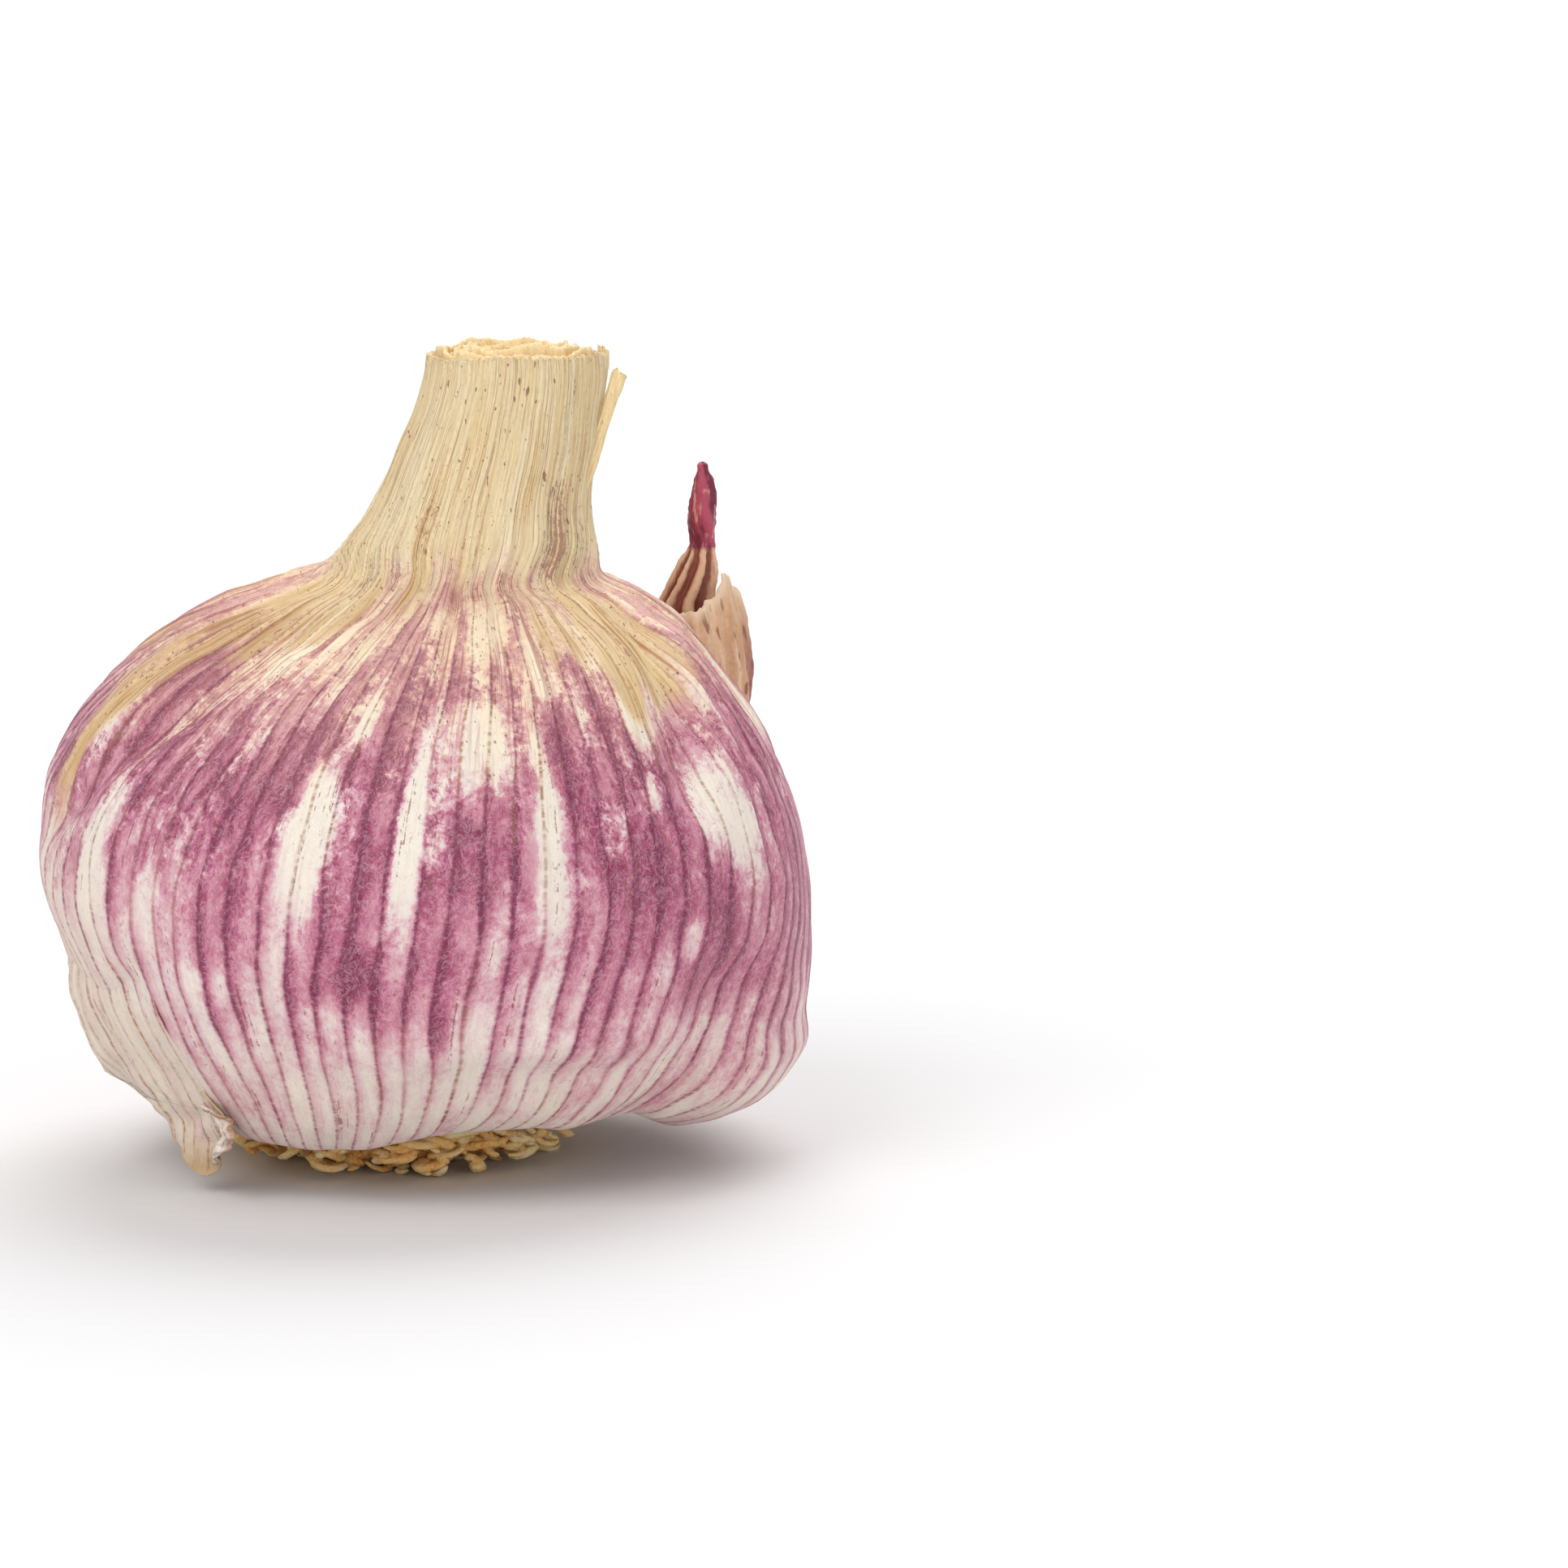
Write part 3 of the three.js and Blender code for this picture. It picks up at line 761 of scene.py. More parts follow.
# %% Build the splinters of the neck
def splinter_grid(path, wide, thick, seed):
    """A flat ribbed strip along a curve, thin at its foot and cut square at its top."""
    rows, sides = 48, 40
    t = np.linspace(0, 1, rows)
    centre = curve(np.array(path, float), t)
    narrow = smooth(0, 0.35, t) * 0.75 + 0.25
    tube = oval_tube(centre, wide * narrow, thick * narrow, sides, np.array([0, 1.0, 0.15]))
    turn = full_turn(sides)
    rib = 0.05 * np.sin(9 * turn + seed)[None] + 0.04 * np.sin(14 * turn + 3 * np.sin(5 * t)[:, None])
    tube = tube + rib[..., None] * grid_normals(tube, True)
    slant = 0.55 * (tube[..., 0] - centre[:, None, 0]) + 0.18 * np.sin(tube[..., 0] * 11)
    tube[..., 2] -= slant * smooth(0.8, 1.0, t)[:, None]
    return tube


LONG_SPLINTER = [(14.2, -1.6, 51.5), (14.95, -1.4, 54.6), (15.9, -1.2, 57.6), (17.15, -1.0, 61.3)]
THIN_SCRAP = [(14.9, 0.6, 57.5), (15.5, 0.7, 59.6), (15.75, 0.8, 61.4), (15.85, 0.9, 63.0)]
long_strip = splinter_grid(LONG_SPLINTER, 0.50, 0.22, 0.0)
thin_strip = splinter_grid(THIN_SCRAP, 0.42, 0.10, 2.0)
splinters = np.stack([long_strip, thin_strip])
splinter = new_piece("neck_splinters", splinters, wrap=True, poles=True, copies=2)
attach(splinter, "root")
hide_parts("neck_splinter")
sheaths.append(splinter)
print("neck_splinters: top", splinters[..., 2].max().round(1), "mm")

# %% [markdown]
# The root plate. The roots were trimmed close, which leaves a corky disc covered in curled, flattened
# stubs, with dark hollows between them. The disc is a turned profile with lumps. The stubs are one
# short oval tube, bent into an arc and repeated a few hundred times with its own size, turn and curl,
# so each has only a few dozen faces. Their lowest points touch the table.

# %% Build the disc
plate_mid = (plate_low + plate_high) / 2
plate_radius = (plate_high[0] - plate_low[0]) / 2
plate_flat = (plate_high[1] - plate_low[1]) / (plate_high[0] - plate_low[0])
PLATE_PROFILE = np.array([
    (0.02, 0.6), (0.35, 0.6), (0.6, 0.8), (0.78, 1.3), (0.88, 2.2), (0.93, 3.4), (0.92, 4.9), (0.82, 6.2),
    (0.3, 6.6), (0.02, 6.6),
])  # share of the plate's radius, and height
DISC_ROWS, DISC_COLUMNS = 70, 200
DISC_LOWEST = 0.3


def on_plate(angle, share, z):
    """A point of the plate: an oval round its middle, at a share of its radius."""
    x = plate_mid[0] + plate_radius * share * np.sin(angle)
    y = plate_mid[1] - plate_radius * plate_flat * share * np.cos(angle)
    return xyz(x, y, z)


disc_share, disc_z = np.moveaxis(curve(PLATE_PROFILE, np.linspace(0, 1, DISC_ROWS)[:, None]), -1, 0)
disc_points = on_plate(full_turn(DISC_COLUMNS)[None], disc_share, disc_z)
lumps = 0.22 * uneven(disc_points, 2.6, 51) + 0.14 * uneven(disc_points, 1.1, 52)
disc_points = disc_points + lumps[..., None] * grid_normals(disc_points, True)
disc_points[..., 2] = np.maximum(disc_points[..., 2], DISC_LOWEST)
disc = new_piece("root_disc", disc_points, wrap=True, poles=True)
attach(disc, "root")
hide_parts("root_plate")
print("root_disc:", disc_points[..., 2].min().round(2), "to", disc_points[..., 2].max().round(2), "mm")

# %% Build the stubs of the roots
STUBS = 520
RIM_STUBS = 380
STUB_ROWS, STUB_SIDES = 8, 6
STUB_FLATNESS = 0.5
STUB_LOWEST = 0.01


def stub_paths():
    """Arcs that start on the plate. Each turns by 80 to 280 degrees in a plane that leans its own way,
    and those at the rim lie along it more often than across it. The sweep's sign doesn't matter."""
    rng = np.random.default_rng(17)
    at_rim = np.arange(STUBS) < RIM_STUBS
    angle = rng.uniform(0, 2 * np.pi, STUBS)
    share = np.where(at_rim, rng.uniform(0.90, 1.02, STUBS), rng.uniform(0.05, 0.90, STUBS))
    foot = through([(0, 0.3), (0.6, 0.4), (0.86, 0.9), (0.92, 1.4), (1.0, 2.3)], share)
    rise = np.where(at_rim, rng.uniform(0, 1, STUBS) * (5.6 - foot), 0)
    start = on_plate(angle, share, foot + rise)
    bend_radius = rng.uniform(0.7, 1.5, STUBS)
    sweep = np.radians(rng.uniform(80, 280, STUBS)) * rng.choice([-1, 1], STUBS)
    along_rim = rng.choice([-1, 1], STUBS) * rng.uniform(0.5, 1.7, STUBS)
    any_way = rng.uniform(-3, 3, STUBS)
    heading = angle + np.where(at_rim, along_rim, any_way)
    first = np.stack([np.sin(heading), -np.cos(heading), rng.uniform(-0.5, 0.35, STUBS)], -1)
    out = np.stack([np.sin(angle), -np.cos(angle), rng.uniform(-0.9, 0.9, STUBS)], -1)
    second = out - first * (out * first).sum(-1, keepdims=True)
    second /= np.linalg.norm(second, axis=-1, keepdims=True)
    t = np.linspace(0, 1, STUB_ROWS)[None, :, None]
    arc = np.abs(sweep)[:, None, None] * t
    bent = np.sin(arc) * first[:, None] + (1 - np.cos(arc)) * 0.6 * second[:, None]
    path = start[:, None] + bend_radius[:, None, None] * bent
    return path, rng.uniform(0.42, 0.80, STUBS), rng.uniform(0, 1, STUBS)


stub_path, stub_size, stub_tone = stub_paths()
stub_wide = stub_size[:, None] * np.array([0.8, 1, 1.05, 1, 1, 0.95, 0.85, 0.55])
stub_thick = stub_wide * STUB_FLATNESS
stub_points = oval_tube(stub_path, stub_wide, stub_thick, STUB_SIDES, np.array([0.2, 0.1, 1.0]))
lowest = stub_points[..., 2].min((1, 2))
stub_points[..., 2] += np.maximum(0, STUB_LOWEST - lowest)[:, None, None]
stub_layers = {"tone": np.broadcast_to(stub_tone[:, None, None], stub_points.shape[:3])}
stubs = new_piece("root_stubs", stub_points, wrap=True, poles=True, layers=stub_layers, copies=STUBS)
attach(stubs, "root")
print("root_stubs:", STUBS, "stubs,", len(stubs.data.polygons), "faces")

# %% [markdown]
# The torn hem. Where the skins reach the root plate they end in a thin, frayed edge that hangs a
# little over the roots. It is a ring whose inner edge is torn: how far it reaches changes with the
# angle by the same kind of sum of waves as the flap's edges.

# %% Build the hem
HEM_ROWS, HEM_COLUMNS = 18, 520
HEM_WIDTH = 3
HEM_THICKNESS = 0.12


def hem_grid(rows, columns):
    """From just inside the belly's underside, in and down to a torn edge near the plate."""
    angle = full_turn(columns)[None]
    u = np.linspace(0, 1, rows)[:, None]
    reach = 0.55 + 0.5 * np.sin(5 * angle + 2 * np.sin(3 * angle)) + 0.35 * np.sin(13 * angle + 1)
    reach = np.clip(reach + 0.25 * np.sin(37 * angle + 3 * np.sin(7 * angle)), 0.05, 1.6)
    share = 1.33 - u * (0.16 + 0.13 * reach)
    under = 5.1 + 1.7 * bell(within_half_turn(angle - np.radians(22)) / 0.62)
    z = under - u * (0.45 + 0.7 * reach) + 0.12 * np.sin(23 * angle + 4 * u) * u
    return on_plate(angle, share, z), u + 0 * angle


hem_points, hem_u = hem_grid(HEM_ROWS, HEM_COLUMNS)
hem_angle = full_turn(HEM_COLUMNS) + 0 * hem_u
hem_run = hem_u * HEM_WIDTH
hem_edge = smooth(0.75, 1.0, hem_u) * 0.6
hem_layers = plain_layers(-0.1, 0.0, 0.5, hem_edge, sheet_place(hem_angle, hem_run))
hem = new_piece("torn_hem", hem_points, wrap=True, uv=vein_uv(hem_angle, hem_run), layers=hem_layers)
thicken(hem, HEM_THICKNESS)
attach(hem, "root")
print("torn_hem: down to", hem_points[..., 2].min().round(2), "mm")

# %% [markdown]
# The torn husk. Behind the right shoulder a stiff scrap of an outer skin stands up, curved like a
# piece of a cup and pointed at the top. It is a sheet round an axis of its own, and its top edge
# follows a rim height for each angle. The pucker near its foot is part of the sheet.

# %% Build the husk
HUSK_CENTRE = (22.2, 11.5)
HUSK_RADIUS = [(27, 2.6), (31, 4.4), (36, 5.0), (41, 4.3), (45, 3.4)]
HUSK_RIM = [
    (-42, 40.6), (-30, 41.2), (0, 41.5), (30, 42.5), (52, 44.0), (62, 44.4), (74, 43.2),
    (90, 42.4), (135, 39.0),
]  # degrees round the husk's own axis, and height
HUSK_FROM, HUSK_TO = -42, 135
HUSK_FOOT = 27.5
HUSK_THICKNESS = 0.25


def husk_grid(rows, columns):
    """Rows go up from the foot to the rim, and columns go round the husk's own axis."""
    degrees = np.linspace(HUSK_FROM, HUSK_TO, columns)[None]
    up = np.linspace(0, 1, rows)[:, None]
    angle = np.radians(degrees)
    rim = through(HUSK_RIM, degrees) + 0.22 * torn(degrees * 0.22, 8)
    z = HUSK_FOOT + (rim - HUSK_FOOT) * up
    radius = through(HUSK_RADIUS, z) + 0.16 * np.sin(angle * 9 + z * 0.3) + 0.10 * np.sin(angle * 23)
    radius = radius + 0.3 * torn(z * 0.5 + angle * 3, 9) * 0.5
    x = HUSK_CENTRE[0] + radius * np.sin(angle)
    y = HUSK_CENTRE[1] - radius * np.cos(angle)
    edge = smooth(0.9, 1.0, up) + smooth(128, HUSK_TO, degrees) + smooth(-36, HUSK_FROM, degrees)
    return xyz(x, y, z), np.clip(edge, 0, 1), angle * 5 + 0 * z


husk_points, husk_edge, husk_across = husk_grid(80, 120)
husk_place = xyz(husk_across, 0 * husk_across, husk_points[..., 2])
husk_layers = {"edge": husk_edge, "sheet_place": husk_place}
husk = new_piece("torn_husk_sheet", husk_points, layers=husk_layers)
thicken(husk, HUSK_THICKNESS)
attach(husk, "root")
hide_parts("torn_husk")
print("torn_husk_sheet: tip at", husk_points[..., 2].max().round(1), "mm")

# %% [markdown]
# The shrivelled tip. Out of the husk stands the dried end of a small shoot: a pleated stalk, and a
# purple bud that is wrapped in its last leaf. It is a turned profile whose section has deep pleats
# low down and two soft folds higher up, and the pleats turn as they rise.

# %% Build the tip
TIP_OUTLINE = np.array([
    (0.1, 34), (2.4, 34.5), (2.9, 38), (2.7, 40.6), (2.2, 42.6), (1.75, 44.6), (1.2, 46.0), (1.12, 46.9),
    (1.42, 48.4), (1.28, 50.2), (0.92, 51.6), (0.58, 52.2), (0.55, 52.7), (0.2, 53.0),
])
TIP_LEAN = [
    (34, 21.0), (38, 21.4), (41, 21.9), (44.5, 22.8), (46.5, 23.3), (48.3, 23.25), (51, 23.5),
    (53, 23.3),
]  # height, and how far right the middle stands
TIP_BACK = 11.9


def tip_grid(rows, columns):
    """A turned outline. Its radius is cut by seven pleats below and by two soft folds in the bud."""
    angle = full_turn(columns)[None]
    radius, z = np.moveaxis(curve(TIP_OUTLINE, np.linspace(0, 1, rows)[:, None]), -1, 0)
    bud = smooth(45.4, 46.8, z)
    turn = angle + 0.09 * (z - 34) + 0.25 * np.sin(z * 0.8)
    pleat = 0.5 + 0.5 * np.sin(7 * turn + 0.8 * np.sin(2 * turn))
    fold = 0.5 + 0.5 * np.sin(2 * turn + 0.35 * z) * 0.7 + 0.15 * np.sin(5 * turn + z)
    ridge = pleat * (1 - bud) + fold * bud
    radius = radius * (1 - (1 - ridge) * (0.42 * (1 - bud) + 0.26 * bud))
    x = through(TIP_LEAN, z) + radius * np.sin(angle)
    y = TIP_BACK - 0.85 * radius * np.cos(angle)
    points = xyz(x, y, z)
    wrinkle = 0.05 * uneven(points, 0.9, 71)
    return points + wrinkle[..., None] * grid_normals(points, True), bud + 0 * angle, ridge


tip_points, tip_bud, tip_ridge = tip_grid(150, 96)
tip_layers = {"bud": tip_bud, "ridge": tip_ridge}
tip = new_piece("shrivelled_shoot", tip_points, wrap=True, poles=True, layers=tip_layers)
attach(tip, "root")
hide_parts("shrivelled_tip")
print("shrivelled_shoot: top", tip_points[..., 2].max().round(1), "mm")

# %% [markdown]
# Shader sums that read like sums. A material's maths is easier to follow as an expression than as a
# heap of Math nodes. A small class wraps a socket, and each operator on it adds one Math node. A
# second class holds the material and adds every other kind of node through one method.


# %% A socket that takes part in sums
class Amount:
    """A number that changes over the surface. a + b, 1 - a, a * 2 and so on each add one Math node."""

    def __init__(self, socket):
        self.socket = socket

    def math(self, operation, *others):
        """One Math node, with this socket first and the other sockets or numbers after it."""
        tree = self.socket.id_data
        made = tree.nodes.new("ShaderNodeMath")
        made.operation = operation
        for place, value in enumerate((self,) + others):
            if isinstance(value, Amount):
                tree.links.new(value.socket, made.inputs[place])
            else:
                made.inputs[place].default_value = value
        return Amount(made.outputs[0])

    def __add__(self, other):
        return self.math("ADD", other)

    __radd__ = __add__

    def __mul__(self, other):
        return self.math("MULTIPLY", other)

    __rmul__ = __mul__

    def __sub__(self, other):
        return self.math("SUBTRACT", other)

    def __rsub__(self, other):
        return (self * -1.0).math("ADD", other)


# %% A material in the making
class Finish:
    """A material with one Principled shader. Numbers that never vary are set on the shader itself."""

    def __init__(self, name, **constants):
        self.material = bpy.data.materials.new(name)
        self.material.use_nodes = True
        self.tree = self.material.node_tree
        self.shader = self.tree.nodes["Principled BSDF"]
        for socket, value in constants.items():
            self.shader.inputs[socket.replace("_", " ")].default_value = value

    def node(self, kind, settings=None, inputs=None, output=0):
        """Adds any node: its settings first, a ramp's stops among them, and then its sockets."""
        made = self.tree.nodes.new("ShaderNode" + kind)
        for key, value in (settings or {}).items():
            if key == "stops":
                self.fill_ramp(made.color_ramp, value)
            else:
                setattr(made, key, value)
        for key, value in (inputs or {}).items():
            if isinstance(value, Amount):
                self.tree.links.new(value.socket, made.inputs[key])
            else:
                made.inputs[key].default_value = value
        return Amount(made.outputs[output])

    @staticmethod
    def fill_ramp(ramp, stops):
        """Gives a colour ramp its stops, each a place from 0 to 1 and a colour."""
        while len(ramp.elements) < len(stops):
            ramp.elements.new(0.5)
        for element, (place, colour) in zip(ramp.elements, stops):
            element.position = place
            element.color = (*colour, 1)

    def ramp(self, amount, stops):
        """The colour at an amount, run through the stops."""
        return self.node("ValToRGB", {"stops": stops}, {0: amount})

    def step(self, amount, low, high):
        """0 below low and 1 above high, with an S-shaped rise between them."""
        inputs = {"Value": amount, "From Min": low, "From Max": high}
        return self.node("MapRange", {"interpolation_type": "SMOOTHSTEP"}, inputs)

    def mix(self, amount, under, over, how="MIX"):
        """Two colours mixed by an amount from 0 to 1. Either may be three fixed numbers."""
        under, over = ((*colour, 1) if isinstance(colour, tuple) else colour for colour in (under, over))
        settings = {"data_type": "RGBA", "blend_type": how}
        return self.node("Mix", settings, {0: amount, 6: under, 7: over}, 2)

    def stretched(self, vector, x, y, z):
        """A vector with each part multiplied: a pattern on it gets shorter where the factor is larger."""
        return self.node("VectorMath", {"operation": "MULTIPLY"}, {0: vector, 1: (x, y, z)})

    def noise(self, vector, scale, detail=2.0, roughness=0.5, distortion=0.0):
        """Noise from 0 to 1 with about scale bumps for each unit of the vector."""
        inputs = {"Vector": vector, "Scale": scale, "Detail": detail, "Roughness": roughness}
        return self.node("TexNoise", {}, {**inputs, "Distortion": distortion})

    def wander(self, vector, scale, detail=2.0, roughness=0.5, distortion=0.0):
        """Noise moved to lie about 0: three and a half times its distance from a half."""
        return (self.noise(vector, scale, detail, roughness, distortion) - 0.5) * 3.5

    def layer(self, name, output="Fac"):
        """A number stored on the mesh, or a vector if the output is Vector."""
        return self.node("Attribute", {"attribute_name": name}, {}, output)

    def object_mm(self):
        """Object coordinates in millimetres."""
        place = self.node("TexCoord", {}, {}, "Object")
        return self.stretched(place, 1 / MM, 1 / MM, 1 / MM)

    def paint(self, colour, roughness, height, depth_mm):
        """Feeds the shader: its colour, its roughness, and a height from 0 to 1 that is bumped to depth."""
        inputs = {"Strength": 1.0, "Distance": depth_mm * MM, "Height": height}
        bump = self.node("Bump", {}, inputs, "Normal")
        for socket, value in (("Base Color", colour), ("Roughness", roughness), ("Normal", bump)):
            self.tree.links.new(value.socket, self.shader.inputs[socket])
        return self.material


# %% [markdown]
# The striped skin. A painter would lay cream, wash it with pigment, draw the veins and then speckle
# it, and the material goes the same way. Pigment is the stored patch amount plus clouds, streaks drawn
# out along the veins, grain, and a value of its own for each strip between two veins. High on the
# belly a steep S-curve makes its edges crisp. Low down it stays soft, with a halo beside each vein.
# Veins are found from U: its fraction, counted in veins, says how far the next vein is. Dry skin lies
# over the pigment, in strips that are more or less tan on the shoulder, and cream on the neck.

# %% Colours of the skin
FRESH = [
    (0.00, (0.85, 0.77, 0.67)), (0.16, (0.79, 0.65, 0.62)), (0.34, (0.71, 0.45, 0.485)),
    (0.54, (0.58, 0.225, 0.31)), (0.76, (0.41, 0.08, 0.17)), (1.00, (0.21, 0.014, 0.07)),
]
FADED = [
    (0.00, (0.90, 0.75, 0.54)), (0.22, (0.86, 0.64, 0.45)), (0.42, (0.75, 0.46, 0.36)),
    (0.65, (0.57, 0.27, 0.24)), (1.00, (0.33, 0.10, 0.12)),
]
STRAW = [
    (0.28, (0.30, 0.13, 0.033)), (0.39, (0.60, 0.37, 0.13)), (0.48, (0.80, 0.59, 0.29)),
    (0.60, (0.88, 0.72, 0.42)), (0.74, (0.94, 0.84, 0.61)),
]
PURPLE_VEIN, TAN_VEIN = (0.17, 0.018, 0.065), (0.36, 0.18, 0.07)
# Painted shade for the grooves of the fibre bump: one colour on purple skin and one on straw.
PURPLE_GROOVE_SHADE, STRAW_GROOVE_SHADE = (0.36, 0.09, 0.10), (0.44, 0.23, 0.09)
TAN_STRIP, CREAM_STRIP = (0.55, 0.33, 0.16), (0.88, 0.79, 0.58)
PALE_SCRIBBLE = (0.85, 0.58, 0.63)
WORN_SKIN = (0.67, 0.50, 0.38)
BROWN_STAIN = (0.27, 0.08, 0.06)
DARK_SPECK = (0.20, 0.06, 0.035)
BROWN_EDGE = (0.50, 0.32, 0.15)
NECK_STARTS, NECK_FULL = 54.0, 66.0


# %% The parts of the skin's pattern
def vein_cells(finish, sheet):
    """How far across its strip a point is, from 0 to 1, its strip, its nearest vein, and its run."""
    uv = finish.node("UVMap", {"uv_map": "UVMap"})
    turn = finish.node("SeparateXYZ", {}, {0: uv}, "X")
    run = finish.node("SeparateXYZ", {}, {0: uv}, "Y") * RUN_UNIT
    count = turn * VEINS + finish.wander(finish.stretched(sheet, 1, 1, 0.5), 0.16) * 0.22
    across = count.math("FRACT")
    strip = count.math("FLOOR").math("FLOORED_MODULO", VEINS)
    nearest = (count + 0.5).math("FLOOR").math("FLOORED_MODULO", VEINS)
    return across, strip, nearest, run


def own_wander(finish, number, run, length_mm, offset):
    """Noise along the run, mostly from -1 to 1, that is different for each whole number."""
    place = finish.node("CombineXYZ", {}, {"X": number * 7.31, "Y": run * (1 / length_mm), "Z": offset})
    return finish.wander(place, 1.0)


def skin_pigment(finish, sheet, cells, grain):
    """Purple from 0 to 1. Crisp = an S-curve of the amount, times a mottled depth. Soft = about half
    the amount, plus a halo beside the veins. They are mixed by height, and some veins get strokes."""
    across, strip, nearest, run = cells
    cloud = finish.wander(finish.stretched(sheet, 1, 1, 0.7), 0.34, 8.0, 0.72, 0.4)
    streak = finish.wander(finish.stretched(sheet, 1, 1, 0.12), 0.60, 4.0, 0.6)
    own = own_wander(finish, strip, run, 10.0, 0.0)
    wash = (across * -3.6).math("EXPONENT") + ((1 - across) * -10.0).math("EXPONENT") * 0.8
    low = 1 - finish.step(run, 26.0, 42.0)
    strength = finish.step(own_wander(finish, strip, run, 16.0, 7.0), -0.9, 0.8)
    stored = finish.layer("purple")
    amount = stored + cloud * 0.52 + streak * 0.24 + own * 0.36 + grain * 0.36
    mottle = finish.wander(finish.stretched(sheet, 1, 1, 0.45), 0.50, 5.0, 0.7, 0.6)
    depth = finish.step(mottle * 1.5 + grain * 0.5 + wash * 1.3 + (stored - 0.7) * 1.8, -1.0, 1.6)
    crisp = finish.step(amount, 0.12, 0.72) * (0.42 + depth * 0.72)
    halo = wash * low * (0.28 + strength * 0.92) * (1 - finish.layer("worn") * 0.75)
    soft = amount * 0.55 + own * low * 0.10 + 0.06 + halo
    near = 0.5 - (across - 0.5).math("ABSOLUTE")
    stroke = finish.step(0.24 - near, 0.0, 0.20)
    stroke = stroke * finish.step(own_wander(finish, nearest, run, 8.0, 11.0), 0.1, 0.8)
    stroke = stroke * finish.step(stored + grain * 0.15, 0.15, 0.5)
    return crisp + (soft - crisp) * (low * 0.75 + finish.step(run, 50.0, 60.0) * 0.6) + stroke * 0.42


def vein_lines(finish, across, nearest, run, neck):
    """Thin lines where a strip ends, broken into beads along their run, and wider on the neck."""
    edge = 0.5 - (across - 0.5).math("ABSOLUTE")
    waver = own_wander(finish, nearest, run, 0.8, 3.0)
    beads = finish.step(own_wander(finish, nearest, run, 0.45, 5.0) + neck * 0.2, -0.35, 0.35)
    low = 1 - finish.step(run, 24.0, 40.0)
    width = 0.10 + waver * 0.03 + neck * 0.05 + low * 0.035
    line = 1 - finish.step(edge, 0.01, width)
    strength = finish.step(own_wander(finish, nearest, run, 13.0, 9.0) - neck * 0.9, -1.0, 0.5)
    least = 0.20 - neck * 0.15
    return line * (0.30 + beads * 0.70) * (least + strength * (1 - least))


def scribbles(finish, sheet, scale, width):
    """Fine pale lines in a tangle: where a bent noise is near a half."""
    bent = finish.wander(finish.stretched(sheet, 1, 1, 0.8), scale, 3.0, 0.6, 1.6)
    return 1 - finish.step(bent.math("ABSOLUTE"), 0.0, width)


